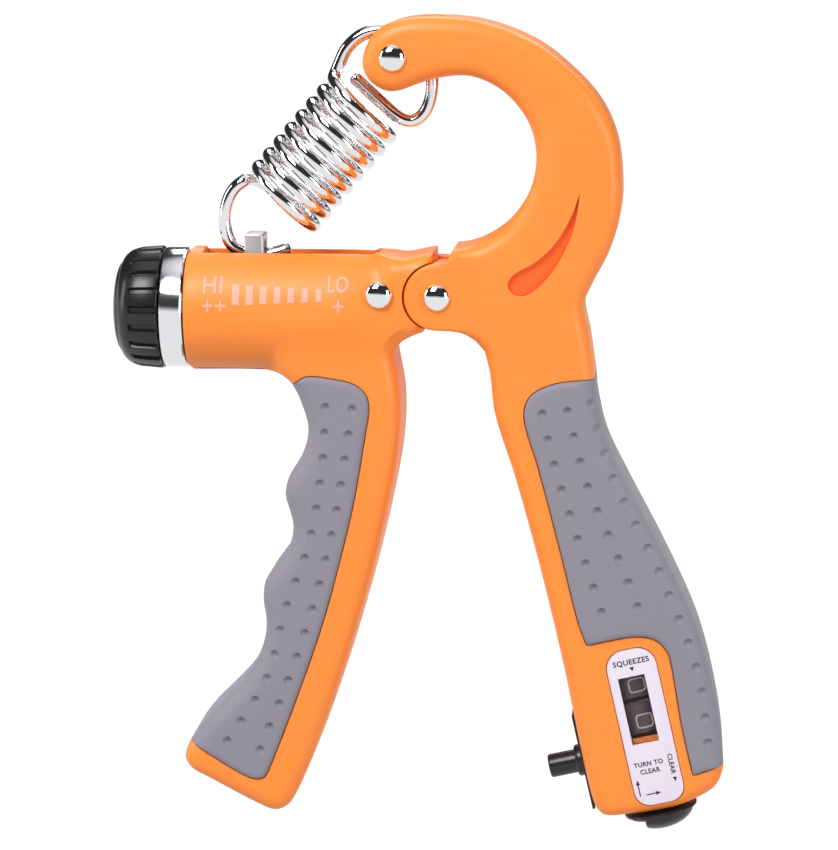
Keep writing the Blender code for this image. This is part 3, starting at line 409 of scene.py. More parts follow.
def slab(name, line, height, rows, spread, material, extra=()):
    """A closed solid over an outline, whose half thickness height(points, distances) gives."""
    count = len(line)
    inner, wanted = [], []
    for row in rows:
        inner += moved_out(line, -row)
        wanted += [row] * count
    low = np.min([tuple(p) for p in line], axis=0)
    high = np.max([tuple(p) for p in line], axis=0)
    for i, x in enumerate(np.arange(low[0], high[0], spread)):
        column = [Vector((x, z + (i % 2) * spread / 2)) for z in np.arange(low[1], high[1], spread)]
        inner += column
        wanted += [rows[-1] + 0.5 * spread] * len(column)
    inner += list(extra)
    wanted += [0.25] * len(extra)
    gone = distances(inner, line)
    kept = [p for p, d, w in zip(inner, gone, wanted) if d > 0.93 * w]
    flat, _, faces, origs, _, _ = delaunay_2d_cdt(list(line) + kept, [], [list(range(count))], 1, 1e-5)
    far = distances(flat, line)
    rim = [i for i, o in enumerate(origs) if any(k < count for k in o)]
    order = {min(k for k in origs[i] if k < count): i for i in rim}
    loop = [order[k] for k in range(count)]
    far[rim] = 0.0
    half = height(np.array([tuple(p) for p in flat]), far)
    total = len(flat)
    points = [(p.x, -h, p.y) for p, h in zip(flat, half)] + [(p.x, h, p.y) for p, h in zip(flat, half)]
    sides = [[i + total for i in reversed(face)] for face in faces]
    walls = [[a, b, b + total, a + total] for a, b in zip(loop, loop[1:] + loop[:1])]
    return mesh_of(name, points, [list(f) for f in faces] + sides + walls, material)


def rounding(half, radius, far):
    """Half thickness of a slab whose edge is rounded, at a distance from the edge."""
    inset = np.clip(radius - far, 0, radius)
    return half - radius + np.sqrt(radius**2 - inset**2)


def prism(line, low, high, material=None, bevel=0.0):
    count = len(line)
    points = [(p[0], low, p[1]) for p in line] + [(p[0], high, p[1]) for p in line]
    walls = [[i, (i + 1) % count, (i + 1) % count + count, i + count] for i in range(count)]
    faces = [list(range(count)), list(range(2 * count - 1, count - 1, -1))] + walls
    return softened(mesh_of("prism", points, faces, material), bevel)


def softened(mesh, width):
    """Rounds a mesh's sharp edges."""
    if not width:
        return mesh
    work = bmesh.new()
    work.from_mesh(mesh)
    sharp = [e for e in work.edges if len(e.link_faces) == 2 and e.calc_face_angle() > math.radians(40)]
    bmesh.ops.bevel(
        work, geom=sharp, offset=width, segments=3, affect="EDGES", profile=0.5, clamp_overlap=True
    )
    work.to_mesh(mesh)
    work.free()
    return mesh


def turned(profile, start, along, sides, material=None, pattern=4):
    """A solid of revolution. profile holds distance, radius and groove depth; a zero radius is a pole.

    pattern is the number of sides from one groove to the next.
    """
    along = Vector(along).normalized()
    across = along.cross(Vector((0, 1, 0)) if abs(along.y) < 0.9 else Vector((1, 0, 0))).normalized()
    third = along.cross(across)
    points, rings = [], []
    for far, radius, *groove in profile:
        if radius == 0:
            rings.append([len(points)])
            points.append(Vector(start) + along * far)
            continue
        rings.append(list(range(len(points), len(points) + sides)))
        for k in range(sides):
            angle = 2 * math.pi * k / sides
            r = radius - (groove[0] if groove and k % pattern >= 0.7 * pattern else 0)
            out = across * math.cos(angle) + third * math.sin(angle)
            points.append(Vector(start) + along * far + out * r)
    pairs = list(zip(rings, rings[1:]))
    if len(rings[0]) > 1 and len(rings[-1]) > 1:
        pairs.append((rings[-1], rings[0]))
    faces = []
    for one, two in pairs:
        for k in range(sides):
            n = (k + 1) % sides
            if len(one) == 1:
                faces.append([one[0], two[k], two[n]])
            elif len(two) == 1:
                faces.append([one[k], one[n], two[0]])
            else:
                faces.append([one[k], one[n], two[n], two[k]])
    return mesh_of("turned", points, faces, material)


def rod(radius, low, high, start, along, sides, material=None):
    """A plain cylinder, from low to high along its axis."""
    return turned([(low, 0), (low, radius), (high, radius), (high, 0)], start, along, sides, material)


def row_faces(rows, sides):
    """Faces over rows of points that go round a solid, with a flat end at each side."""
    total = rows * sides
    faces = [list(range(sides)), list(range(total - 1, total - 1 - sides, -1))]
    for i in range(rows - 1):
        for k in range(sides):
            n = (k + 1) % sides
            faces.append([i * sides + k, i * sides + n, (i + 1) * sides + n, (i + 1) * sides + k])
    return faces


def tube(path, radius, sides, material):
    """A round wire along a path, with rounded ends."""
    path = [Vector(p) for p in path]
    side = (path[1] - path[0]).normalized().cross(Vector((0, 1, 0)))
    side = (side if side.length > 0.1 else Vector((1, 0, 0))).normalized()
    top = len(path) - 1
    first = (path[0] - path[1]).normalized()
    last = (path[-1] - path[-2]).normalized()
    caps = ((0.5, 0.5), (0.35, 0.85))  # reach and radius of each end's rows
    rows = [(path[0] + first * radius * s, radius * c, 0, 1) for s, c in caps]
    rows += [(p, radius, max(i - 1, 0), min(i + 1, top)) for i, p in enumerate(path)]
    rows += [(path[-1] + last * radius * s, radius * c, top - 1, top) for s, c in reversed(caps)]
    points = []
    for here, r, low, high in rows:
        turn = (path[high] - path[low]).normalized()
        side = (side - turn * side.dot(turn)).normalized()
        up = turn.cross(side)
        points += [
            here + (side * math.cos(2 * math.pi * k / sides) + up * math.sin(2 * math.pi * k / sides)) * r
            for k in range(sides)
        ]
    return mesh_of("tube", points, row_faces(len(rows), sides), material)


def linked(name, mesh):
    made = bpy.data.objects.new(name, mesh)
    bpy.context.scene.collection.objects.link(made)
    return made


def carved(mesh, cutters, operation="DIFFERENCE"):
    """The mesh less each cutter, or joined with each."""
    target = linked("target", mesh)
    things = [linked("cutter", cutter) for cutter in cutters]
    for thing in things:
        step = target.modifiers.new("cut", "BOOLEAN")
        step.operation = operation
        step.solver = "EXACT"
        step.material_mode = "TRANSFER"
        step.object = thing
    made = bpy.data.meshes.new_from_object(target.evaluated_get(bpy.context.evaluated_depsgraph_get()))
    for thing in [target, *things]:
        bpy.data.objects.remove(thing, do_unlink=True)
    return made


def show(name, mesh, body, nodes=(), angle=32):
    """Puts a mesh in the scene, in world metres, on its body; angle is where its shading turns sharp."""
    mesh.transform(TO_WORLD)
    made = linked(name, mesh)
    mesh.shade_smooth()
    mesh.set_sharp_from_angle(angle=math.radians(angle))
    if body:
        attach(made, body)
    if nodes:
        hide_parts(*nodes)
    return made


def joined(meshes):
    work = bmesh.new()
    for mesh in meshes:
        work.from_mesh(mesh)
    made = bpy.data.meshes.new("joined")
    work.to_mesh(made)
    work.free()
    for material in meshes[0].materials:
        made.materials.append(material)
    return made


# The counter's frame

def spot(across, down):
    return COUNTER + ACROSS * across + DOWN * down


def spot3(across, deep, down):
    flat = spot(across, down)
    return Vector((flat.x, deep, flat.y))


DOWN3 = Vector((DOWN.x, 0, DOWN.y))
ACROSS3 = Vector((ACROSS.x, 0, ACROSS.y))


def counter_box(left, right, top, bottom, front, back, material=None, bevel=0.0):
    line = [spot(left, bottom), spot(right, bottom), spot(right, top), spot(left, top)]
    return prism(line, front, back, material, bevel)


def label_line(inset):
    """The label's outline, with its corners rounded more at the top."""
    half, length = LABEL_HALF - inset, LABEL_LONG - inset
    corners = ((1, -1, LABEL_TOP), (-1, -1, LABEL_TOP), (-1, 1, LABEL_LOW), (1, 1, LABEL_LOW))
    line = []
    for start, (right, low, radius) in enumerate(corners):
        for a in np.linspace(start, start + 1, 9) * math.pi / 2:
            across = right * (half - radius) + radius * math.cos(a)
            line.append(spot(across, low * (length - radius) - radius * math.sin(a)))
    return line


# Mouldings

def ramp(value):
    """From 0 to 1 with soft ends."""
    value = np.clip(value, 0, 1)
    return value * value * (3 - 2 * value)


def barrel_height(points, far):
    """A round barrel that flows into a flat leg and nose."""
    x, z = points[:, 0], points[:, 1]
    up = z - BARREL_Z
    tube_half = np.sqrt(np.clip(BARREL_RADIUS**2 - up**2, LEAST_HALF**2, None))
    tube_half = tube_half - 0.5 * (1 - np.clip((x - BARREL_LEFT) / 0.7, 0, 1)) ** 2
    tube_half = tube_half * (1 - NECK * ramp((x - NECK_START) / NECK_LONG))
    tube_half = tube_half * (z > BARREL_Z - BARREL_RADIUS - 0.6) * (x < BARREL_END)
    share = np.where(up > 0, ramp((x - NOSE_START) / NOSE_LONG), ramp((x - LEG_START) / LEG_LONG))
    share = np.maximum(share, ramp((BARREL_Z - LEG_DROP - z) / LEG_FADE))
    flat = rounding(PLATE_HALF, PLATE_ROUND, far) * share
    melt = 2.2 * (x < BARREL_END) * (far > 1.6)  # softens the line where the two meet
    both = 0.5 * (tube_half + flat + np.sqrt((tube_half - flat) ** 2 + melt + 1e-9))
    return np.maximum(both, LEAST_HALF)


def arm_height(points, far):
    """A plate with soft edges, which are crisper round the pivot."""
    away = ramp((np.hypot(points[:, 0], points[:, 1]) - PIVOT_CRISP) / PIVOT_FADE)
    return rounding(PLATE_HALF, PIVOT_ROUND + (PLATE_ROUND - PIVOT_ROUND) * away, far)


def make_frame_arm():
    line, marks = right_outline()
    plate = slab("plate", line, arm_height, ROWS, 4.0, ORANGE)
    edge, inside = grip_lines(line, marks, RIGHT_GRIP, RIGHT_BORDER)
    seat = moved_out(edge + inside[1:-1], SEAM)
    fork = arc((0, 0), LUG_RADIUS + FORK_CLEAR, -75, 75) + [(0.4, 14), (-14, 14), (-14, -14), (1.8, -14)]
    leaf, _ = flow(LEAF, 0.8)
    left, right, top, bottom = WINDOW
    opening = (left - WINDOW_CLEAR, right + WINDOW_CLEAR, top - WINDOW_CLEAR, bottom + WINDOW_CLEAR)
    # The label seat, pocket, window opening and leaf recess cutters give their cut walls the darker orange of
    # painted shade
    cutters = [
        prism(seat, -14, 14, ORANGE),
        prism(fork, -TONGUE_HALF - 0.3, TONGUE_HALF + 0.3, ORANGE),
        prism(box_line(*LOOP_FORK), -LOOP_FORK_HALF, LOOP_FORK_HALF, ORANGE),
        prism(label_line(-0.05), -13, -PLATE_HALF + LABEL_SEAT, SHADED_ORANGE),
        counter_box(*POCKET, *POCKET_DEEP, SHADED_ORANGE),
        counter_box(LEG_EDGE - 2, POCKET[0] + 0.5, -3.8, 9.8, -6.6, 3.4, SHADED_ORANGE),
        counter_box(*opening, -12, -7.5, SHADED_ORANGE),
        rod(1.4, -1, 14, spot3(AXLE_ACROSS, AXLE_DEEP, POCKET[3]), DOWN3, 24),
        prism(leaf, -13, -PLATE_HALF + LEAF_DEEP, SHADED_ORANGE),
        prism(leaf, PLATE_HALF - LEAF_DEEP, 13, SHADED_ORANGE),
    ]
    show("arm_moulding", carved(plate, cutters), "frame", ["frame_arm"])


def make_lever():
    line, marks = left_outline()
    body = slab("lever", line, barrel_height, ROWS, 2.6, ORANGE)
    edge, inside = grip_lines(line, marks, LEFT_GRIP, LEFT_BORDER)
    seat = moved_out(edge + inside[1:-1], SEAM)
    lug = arc((0, 0), LUG_RADIUS + 0.25, 40, 330) + [(14, -8), (14, 8)]
    # The bore's cutter gives the inside of the barrel the darker orange of painted shade
    cutters = [
        prism(seat, -14, 14, ORANGE),
        rod(BARREL_BORE, -40, 0, (-15.5, 0, BARREL_Z), (1, 0, 0), 64, SHADED_ORANGE),
        prism(box_line(*BARREL_SLOT, BARREL_Z, 20), -BARREL_SLOT_HALF, BARREL_SLOT_HALF, ORANGE),
        prism(lug, -20, -TONGUE_HALF, ORANGE),
        prism(lug, TONGUE_HALF, 20, ORANGE),
        rod(BUSH_RADIUS, -20, 20, (0, 0, 0), (0, 1, 0), 48),
    ]
    show("lever_moulding", carved(body, cutters), "lever", ["lever_body"])


def make_rubber(name, outline, ends, border, rows, body, node):
    """A rubber sleeve with a soft outer edge, a small lip along its border and rows of dimples."""
    line, marks = outline
    edge, inside = grip_lines(line, marks, ends, border)
    centres = [p for row in rows for p in spaced(row, DIMPLE_PITCH)]
    extra = [
        c + Vector((math.cos(a), math.sin(a))) * DIMPLE_RADIUS * share
        for c in centres for share, count in DIMPLE_RINGS
        for a in np.linspace(0, 2 * math.pi, count, endpoint=False)
    ]

    def height(points, _):
        half = PLATE_HALF + GRIP_PROUD
        outer = rounding(half, GRIP_ROUND, distances(points, edge, False))
        lip = rounding(half, GRIP_LIP, distances(points, inside, False))
        pits = np.full(len(points), 9.0)
        for c in centres:
            pits = np.minimum(pits, np.hypot(points[:, 0] - c.x, points[:, 1] - c.y))
        pit = np.clip(1 - (pits / DIMPLE_RADIUS) ** 2.5, 0, 1)
        return np.minimum(outer, lip) - DIMPLE_DEEP * pit**1.2

    mesh = slab(name, edge + inside[1:-1], height, ROWS, 2.4, RUBBER, extra)
    show(name, mesh, body, [node], 45)


# Pins, ring, knob and screw

def make_rivets():
    spots = {
        "pivot_dome": (0, 0, PLATE_HALF, 2.0, "frame", "pivot_rivet"),
        "loop_dome": (*LOOP_PIN, PLATE_HALF, 1.5, "frame", "loop_pin"),
        "barrel_dome": (*BARREL_RIVET, BARREL_DOME, 1.6, "lever", "barrel_rivet"),
    }
    for name, (x, z, half, shank, body, node) in spots.items():
        dome = [(0.15 + 1.35 * math.sin(a), 2.6 * math.cos(a)) for a in np.linspace(0.12, 1.35, 12)]
        rise = half + 1.5
        low = [(-rise, 0)] + [(-half - s, r) for s, r in reversed(dome)]
        neck = [(-half, 2.5), (-half, shank), (half, shank), (half, 2.5)]
        high = [(half + s, r) for s, r in dome] + [(rise, 0)]
        mesh = turned(low + neck + high, (x, 0, z), (0, 1, 0), 64, CHROME)
        show(name, mesh, body, [node])


def make_knob():
    bore, rim = BARREL_BORE, 11.6
    ring = [
        (0, bore), (0, rim - 0.4), (0.12, rim - 0.12), (0.4, rim),
        (4.1, rim), (4.4, rim - 0.2), (4.4, bore),
    ]
    mesh = turned(ring, (RING_START, 0, BARREL_Z), (1, 0, 0), 96, RING)
    show("ring", mesh, "lever", ["barrel_ring"])
    edge, deep, hub = 11.9, 0.75, 2.8
    knob = [
        (0.5, 0), (0.5, 8.9), (0.8, 9.5), (1.3, 10.2), (2.0, 10.8), (2.6, 11.1), (2.9, 11.2),
        (3.3, 11.35, deep), (4.2, 11.6, deep), (8.1, edge, deep), (8.4, edge - 0.1, deep),
        (8.6, edge - 0.4, deep * 0.6), (8.6, hub), (2.7, hub), (2.7, 0),
    ]
    grooves, sides = 20, 10
    mesh = turned(knob, (KNOB_START, 0, BARREL_Z), (1, 0, 0), grooves * sides, BLACK, sides)
    show("knob", mesh, "knob", ["adjust_knob"], 24)
    dome = [(0.6 - 1.7 * math.cos(a), 8.8 * math.sin(a)) for a in np.linspace(0, math.pi / 2, 12)[1:]]
    cap = [(-1.1, 0)] + dome + [(0.9, 8.6), (0.9, 0)]
    mesh = turned(cap, (KNOB_START, 0, BARREL_Z), (1, 0, 0), 96, BLACK)
    show("cap", mesh, "knob", ["knob_cap"])


def make_screw():
    """The adjusting rod, with a real helical thread."""
    start, end = KNOB_START + 3, -13.7
    first, last = -44.0, -17.5
    pitch, sides, per = 2.0, 24, 12
    outer, core, thread = 2.5, 2.1, 0.42
    points = []
    count = round((last - first) / pitch * per)
    xs = [start] + [first + pitch * k / per for k in range(count + 1)] + [end]
    for x in xs:
        for k in range(sides):
            share = (x / pitch - k / sides) % 1.0
            ridge = outer - thread * min(1, abs(share - 0.5) * 2.6) if first < x < last else core
            if x == start:
                ridge = outer
            a = 2 * math.pi * k / sides
            points.append((x, ridge * math.cos(a), BARREL_Z + ridge * math.sin(a)))
    mesh = mesh_of("screw", points, row_faces(len(xs), sides), STEEL)
    show("screw", mesh, "knob", ["screw_rod"])


def make_slider():
    line = box_line(SLIDER_X - SLIDER_HALF, SLIDER_X + SLIDER_HALF, SLIDER_FOOT, SLIDER_TOP)
    block = prism(line, -SLIDER_DEEP, SLIDER_DEEP, STEEL, 0.35)
    bore = rod(SLIDER_BORE, -9, 9, (SLIDER_X, 0, BARREL_Z), (1, 0, 0), 48)
    slot = prism(box_line(SLIDER_X - 9, SLIDER_X + 9, *HOOK_SLOT), -HOOK_SLOT_HALF, HOOK_SLOT_HALF)
    show("slider", carved(block, [bore, slot]), "slider", ["slider_block"])


def make_spring():
    """One wire: the ring round the loop's pin, the leaning coil and the hook in the slider."""
    along = Vector((-math.sin(COIL_LEAN), -math.cos(COIL_LEAN)))
    out = Vector((-math.cos(COIL_LEAN), math.sin(COIL_LEAN)))
    start = Vector(COIL_LOBE) - out * COIL
    steps = 40
    coil = []
    for k in range(COIL_TURNS * steps + 1):
        angle = 2 * math.pi * k / steps
        flat = start + along * COIL_PITCH * k / steps + out * COIL * math.cos(angle)
        coil.append(Vector((flat.x, -COIL * math.sin(angle), flat.y)))
    ring, _ = flow([*UPPER_RING, (coil[0].x, coil[0].z)], 0.7, closed=False)
    hook = [Vector((p.x, 0, p.y)) for p in ring]
    end, _ = flow([(coil[-1].x, coil[-1].z)] + LOWER_HOOK, 0.7, closed=False)
    path = hook + coil[1:] + [Vector((p.x, 0, p.y)) for p in end[1:]]
    for _ in range(3):
        path = [path[0]] + [(a + b * 2 + c) / 4 for a, b, c in zip(path, path[1:], path[2:])] + [path[-1]]
    wire = show("spring_wire", tube(path, WIRE, 20, CHROME), None, ["spring_upper", "spring_lower"])
    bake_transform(wire)


# The counter

def make_label():
    front = -PLATE_HALF + 0.1
    left, right, top, bottom = WINDOW
    plate = prism(label_line(0.08), front, front + 0.4, LABEL, 0.08)
    opening = counter_box(left, right, top, bottom, -20, 20)
    show("label_sheet_plate", carved(plate, [opening]), "frame", ["label_plate"])
    gap = 0.05
    pane = (left + gap, right - gap, top + gap, bottom - gap)
    glass = counter_box(*pane, front + 0.12, front + 0.8, CLEAR)
    show("window_pane", glass, "frame", ["counter_window"])
    sill = counter_box(left + 0.1, right - 0.1, bottom - 1.0, bottom + 0.3, front + 1.1, front + 1.6, ORANGE)
    show("window_sill", sill, "frame")


def make_wheels():
    half, edge = WHEEL_HALF, WHEEL_EDGE
    profile = [
        (-half, 1.0), (-half, WHEEL_RADIUS - edge), (edge - half, WHEEL_RADIUS),
        (half - edge, WHEEL_RADIUS), (half, WHEEL_RADIUS - edge), (half, 1.0),
    ]
    for name, down in WHEEL_DOWN.items():
        drum = turned(profile, spot3(AXLE_ACROSS, AXLE_DEEP, down), DOWN3, 60, WHEEL)
        show(name + "_drum", drum, name, [name + "_wheel"])
        show(name + "_figures", figures(down), name)


SEGMENTS = ("abcdef", "bc", "abged", "abgcd", "fgbc", "afgcd", "afgedc", "abc", "abcdefg", "abcdfg")
STROKES = {                            # ends of each stroke in a unit box, right and down
    "a": ((-1, -1), (1, -1)), "b": ((1, -1), (1, 0)), "c": ((1, 0), (1, 1)), "d": ((1, 1), (-1, 1)),
    "e": ((-1, 1), (-1, 0)), "f": ((-1, 0), (-1, -1)), "g": ((-1, 0), (1, 0)),
}


def figures(down):
    """Ten plain figures round a wheel, bent to the drum. The nought at the window has the widest place."""
    turn_out = WHEEL_RADIUS + 0.03
    made = []
    for figure, strokes in enumerate(SEGMENTS):
        if figure == 0:
            middle, wide = math.radians(NOUGHT_AT), NOUGHT_WIDE
            angles = np.linspace(0, 2 * math.pi, 49)
            rows = [[(rounded_square(math.cos(a)), rounded_square(math.sin(a))) for a in angles]]
        else:
            middle, wide = math.radians(ONE_AT + FIGURE_APART * (figure - 1)), FIGURE_WIDE
            rows = [np.linspace(*STROKES[stroke], 7) for stroke in strokes]
        for row in rows:
            path = []
            for right, low in row:
                angle = middle + right * wide / WHEEL_RADIUS
                across = AXLE_ACROSS + turn_out * math.sin(angle)
                deep = AXLE_DEEP - turn_out * math.cos(angle)
                path.append(spot3(across, deep, down + FIGURE_DROP + low * FIGURE_HIGH))
            made.append(tube(path, FIGURE_LINE, 8, DIGIT))
    return joined(made)


def rounded_square(value):
    """Turns a circle's sine or cosine into that of a square with rounded corners."""
    return math.copysign(abs(value) ** 0.4, value)


def make_reset():
    knob = [
        (2.3, 0), (2.3, 1.2), (0, 1.2), (0, 6.9), (0.15, 7.1), (0.4, 7.2), (0.7, 7.1), (0.9, 6.7),
        (1.05, 6.4), (1.5, 6.25), (2.1, 5.85), (2.7, 5.2), (3.2, 4.4), (3.6, 3.5), (3.75, 3.0),
        (3.8, 2.6), (3.8, 0),
    ]
    mesh = turned(knob, spot3(AXLE_ACROSS, AXLE_DEEP, RESET_DOWN), DOWN3, 72, BLACK)
    flat = counter_box(-20, AXLE_ACROSS - RESET_FLAT, RESET_DOWN + 1.2, RESET_DOWN + 9, -20, 20)
    show("reset_dial", carved(mesh, [flat]), "reset", ["reset_knob"], 28)


def make_plunger():
    length, radius, shank, thin = 10.9, 2.3, 14.8, 1.2
    button = [
        (0.35, 0), (0.35, 1.35), (0.1, 1.6), (0, 1.8), (0.05, 2.05), (0.25, 2.25), (0.5, radius),
        (length - 0.2, radius), (length, radius - 0.2), (length, thin), (shank, thin), (shank, 0),
    ]
    mesh = turned(button, spot3(PLUNGER_TIP, AXLE_DEEP, PLUNGER_DOWN), ACROSS3, 56, BLACK)
    show("plunger_button", mesh, "plunger", ["plunger"])
    low, high = PLUNGER_COIL
    radius, turns, steps = PLUNGER_COIL_RADIUS, PLUNGER_COIL_TURNS, 24
    path = []
    for k in range(turns * steps + 1):
        angle = 2 * math.pi * k / steps
        across = low + (high - low) * k / (turns * steps)
        deep, down = AXLE_DEEP + radius * math.sin(angle), PLUNGER_DOWN + radius * math.cos(angle)
        path.append(spot3(across, deep, down))
    wire = show("return_spring", tube(path, 0.25, 10, STEEL), None, ["plunger_spring"])
    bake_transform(wire)


def make_case():
    """The black strip on the leg's inner edge, with a stepped collar round the plunger."""
    face = LEG_EDGE - 0.3
    strip = counter_box(face - 0.6, face, -4.0, 15.2, -5.6, 4.6, BLACK, 0.25)
    start = spot3(-15.0, AXLE_DEEP, PLUNGER_DOWN)
    collar = turned(
        [(0, 0), (0, 2.75), (0.2, 3.0), (0.45, 3.1), (7.2, 3.1), (7.2, 0)], start, ACROSS3, 56, BLACK
    )
    bore = rod(2.6, -20, 20, start, ACROSS3, 48, BLACK)
    mesh = carved(carved(strip, [collar], "UNION"), [bore])
    show("case_strip", mesh, "frame", ["counter_case"])


# Print

def lettering(text, size, centre, bold, turn=0.0, wide=1.0):
    """A word's flat mesh as 2-D points and faces."""
    curve = bpy.data.curves.new("word", "FONT")
    curve.body = text
    curve.size = size
    curve.align_x = "CENTER"
    curve.align_y = "CENTER"
    curve.resolution_u = 4
    curve.offset = bold
    curve.space_character = 1.08
    thing = linked("word", curve)
    mesh = bpy.data.meshes.new_from_object(thing.evaluated_get(bpy.context.evaluated_depsgraph_get()))
    bpy.data.objects.remove(thing, do_unlink=True)
    points = []
    for v in mesh.vertices:
        x, z = v.co.x * wide, v.co.y
        right = centre[0] + x * math.cos(turn) - z * math.sin(turn)
        points.append((right, centre[1] + x * math.sin(turn) + z * math.cos(turn)))
    return points, [list(f.vertices) for f in mesh.polygons]


def printed(shapes, depth, material):
    """Flat shapes laid on a surface, whose depth at each point depth(x, z) gives."""
    work = bmesh.new()
    for points, faces in shapes:
        corners = [work.verts.new((x, 0, z)) for x, z in points]
        for face in faces:
            work.faces.new([corners[i] for i in face])
    bmesh.ops.triangulate(work, faces=work.faces)
    for _ in range(3):
        long = [e for e in work.edges if e.calc_length() > 0.7]
        bmesh.ops.subdivide_edges(work, edges=long, cuts=1)
        bmesh.ops.triangulate(work, faces=work.faces)
    for v in work.verts:
        v.co.y = depth(v.co.x, v.co.z)
    work.normal_update()
    for face in work.faces:
        if face.normal.y > 0:
            face.normal_flip()
    mesh = bpy.data.meshes.new("print")
    work.to_mesh(mesh)
    work.free()
    mesh.materials.append(material)
    return mesh


def bar(x, z, wide, high):
    return box_line(x - wide / 2, x + wide / 2, z - high / 2, z + high / 2), [[0, 1, 2, 3]]


def leaning(points):
    """A shape given across and down in the counter's frame."""
    return [tuple(spot(*p)) for p in points], [list(range(len(points)))]


def make_prints():
    """The plain scale on the barrel, with bars that shrink to the right, and the label's words and arrows."""
    shapes = [
        lettering("HI", 4.4, (-42.7, 1.9), 0.07, wide=0.95),
        lettering("++", 4.4, (-42.4, -2.0), 0.07, wide=0.9),
        lettering("LO", 4.1, (-18.8, 2.2), 0.07, wide=0.75),
        lettering("+", 4.4, (-18.6, -1.9), 0.07),
    ]
    for k in range(7):
        shapes.append(bar(-38.3 + 2.65 * k, 0.35, 1.45 - 0.05 * k, 3.9 - 0.26 * k))

    def on_barrel(x, z):
        return -barrel_height(np.array([[x, z]]), np.array([9.0]))[0] - 0.04
    show("scale_print", printed(shapes, on_barrel, PALE_INK), "lever")
    words = [
        lettering("SQUEEZES", 1.45, spot(0.1, -13.0), 0.035, LEAN),
        lettering("TURN TO", 1.3, spot(-0.9, 7.3), 0.03, LEAN, 0.95),
        lettering("CLEAR", 1.3, spot(-0.9, 8.8), 0.03, LEAN, 0.95),
        lettering("CLEAR", 1.3, spot(3.4, 8.2), 0.03, LEAN - math.pi / 2),
        leaning([(-0.5, -12.0), (0.5, -12.0), (0.0, -11.2)]),
        leaning([(3.1, 10.9), (3.9, 10.9), (3.5, 11.8)]),
        leaning([(-3.9, 13.4), (-3.9, 10.9), (-3.7, 10.9), (-3.7, 13.4)]),
        leaning([(-4.2, 11.1), (-3.8, 10.1), (-3.4, 11.1)]),
        leaning([(-2.6, 13.2), (-0.6, 13.2), (-0.6, 13.4), (-2.6, 13.4)]),
        leaning([(-0.7, 12.9), (0.3, 13.3), (-0.7, 13.7)]),
    ]
    show("label_print", printed(words, lambda x, z: -PLATE_HALF + 0.07, INK), "frame")


def dress_nodes():
    """Finishes for the frame's own nodes that stay in view."""
    finishes = {
        "pivot_bush": STEEL, "pin_sleeve": STEEL, "end_plug": BLACK, "rod_collar": STEEL, "end_bush": STEEL,
        "counter_bracket": STEEL, "counter_axle": STEEL,
    }
    for name, material in finishes.items():
        mesh = frame["nodes"][name].data
        mesh.materials.clear()
        mesh.materials.append(material)


# Light, floor and camera

def look_from(place, target, up):
    """Where a lamp or camera at a place stands, turned to its target."""
    back = (place - target).normalized()
    right = up.cross(back).normalized()
    turn = Matrix((right, back.cross(right), back)).transposed()
    return Matrix.Translation(place) @ turn.to_4x4()


def lamp(name, place, size, power):
    light = bpy.data.lights.new(name, "AREA")
    light.shape = "RECTANGLE"
    light.size, light.size_y = size
    light.energy = power
    linked(name, light).matrix_world = look_from(Vector(place), Vector(LAMP_TARGET), Vector((0, 0, 1)))


def make_world():
    """White behind the object and dimmer for what lights it. Mirrors see bands of light and dark."""
    world = bpy.data.worlds.new("studio")
    bpy.context.scene.world = world
    world.use_nodes = True
    nodes, links = world.node_tree.nodes, world.node_tree.links
    back = nodes["Background"]
    back.inputs["Color"].default_value = (1, 1, 1, 1)
    back.inputs["Strength"].default_value = AMBIENT
    seen = nodes.new("ShaderNodeBackground")
    seen.inputs["Color"].default_value = (1, 1, 0.99, 1)
    mirrored = nodes.new("ShaderNodeBackground")
    place, parts = nodes.new("ShaderNodeTexCoord"), nodes.new("ShaderNodeSeparateXYZ")
    bands = nodes.new("ShaderNodeValToRGB")
    bands.color_ramp.elements.remove(bands.color_ramp.elements[0])
    for at, grey in MIRROR_BANDS:
        stop = bands.color_ramp.elements.new(at)
        stop.color = (grey, grey * 0.97, grey, 1)
    links.new(place.outputs["Generated"], parts.inputs["Vector"])
    links.new(parts.outputs["Z"], bands.inputs["Fac"])
    links.new(bands.outputs["Color"], mirrored.inputs["Color"])
    path = nodes.new("ShaderNodeLightPath")
    shader = back
    for kind, other in (("Is Glossy Ray", mirrored), ("Is Camera Ray", seen)):
        choice = nodes.new("ShaderNodeMixShader")
        links.new(path.outputs[kind], choice.inputs["Fac"])
        links.new(shader.outputs[0], choice.inputs[1])
        links.new(other.outputs["Background"], choice.inputs[2])
        shader = choice
    links.new(shader.outputs[0], nodes["World Output"].inputs["Surface"])


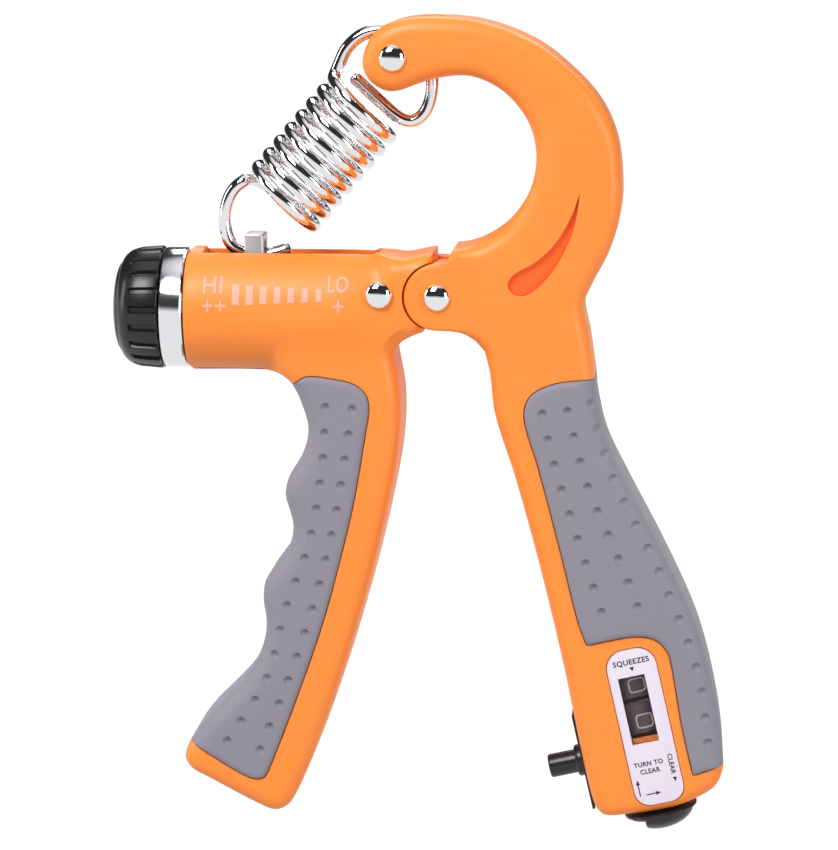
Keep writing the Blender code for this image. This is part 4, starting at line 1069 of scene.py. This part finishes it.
def make_floor():
    """A floor that gives back pure white to the eye and less to the object's mirrors and shades."""
    paint = bpy.data.materials.new("floor")
    paint.use_nodes = True
    nodes, links = paint.node_tree.nodes, paint.node_tree.links
    shader = nodes["Principled BSDF"]
    shader.inputs["Base Color"].default_value = (0.06, 0.06, 0.06, 1)
    shader.inputs["Roughness"].default_value = 0.9
    shader.inputs["Specular IOR Level"].default_value = 0.0
    shader.inputs["Emission Color"].default_value = (1, 1, 0.99, 1)
    path, sharp, level = (nodes.new("ShaderNode" + kind) for kind in ("LightPath", "MapRange", "Math"))
    sharp.inputs["To Min"].default_value = 0.55
    sharp.inputs["To Max"].default_value = 0.8
    links.new(path.outputs["Is Glossy Ray"], sharp.inputs["Value"])
    level.operation = "MAXIMUM"
    links.new(sharp.outputs["Result"], level.inputs[0])
    links.new(path.outputs["Is Camera Ray"], level.inputs[1])
    links.new(level.outputs["Value"], shader.inputs["Emission Strength"])
    corners = [(-6, -4, 0), (6, -4, 0), (6, 9, 0), (-6, 9, 0)]
    linked("floor", mesh_of("floor", corners, [[0, 1, 2, 3]], paint))


def make_studio():
    make_world()
    make_floor()
    for values in LAMPS:
        lamp(*values)


def make_camera():
    data = bpy.data.cameras.new("camera")
    data.lens = CAMERA_LENS
    data.sensor_width = 36.0
    camera = linked("camera", data)
    place, target = TO_WORLD @ Vector(CAMERA_PLACE), TO_WORLD @ Vector(CAMERA_TARGET)
    camera.matrix_world = look_from(place, target, TURN @ Vector((0, 0, 1)))
    data.clip_start, data.clip_end = 0.01, 50.0
    bpy.context.scene.camera = camera


bpy.context.scene.view_settings.view_transform = "Standard"
make_frame_arm()
make_lever()
make_rubber("right_rubber", right_outline(), RIGHT_GRIP, RIGHT_BORDER, RIGHT_DIMPLES, "frame", "right_grip")
make_rubber("left_rubber", left_outline(), LEFT_GRIP, LEFT_BORDER, LEFT_DIMPLES, "lever", "left_grip")
make_rivets()
make_knob()
make_screw()
make_slider()
make_spring()
make_label()
make_wheels()
make_reset()
make_plunger()
make_case()
make_prints()
dress_nodes()
make_studio()
make_camera()
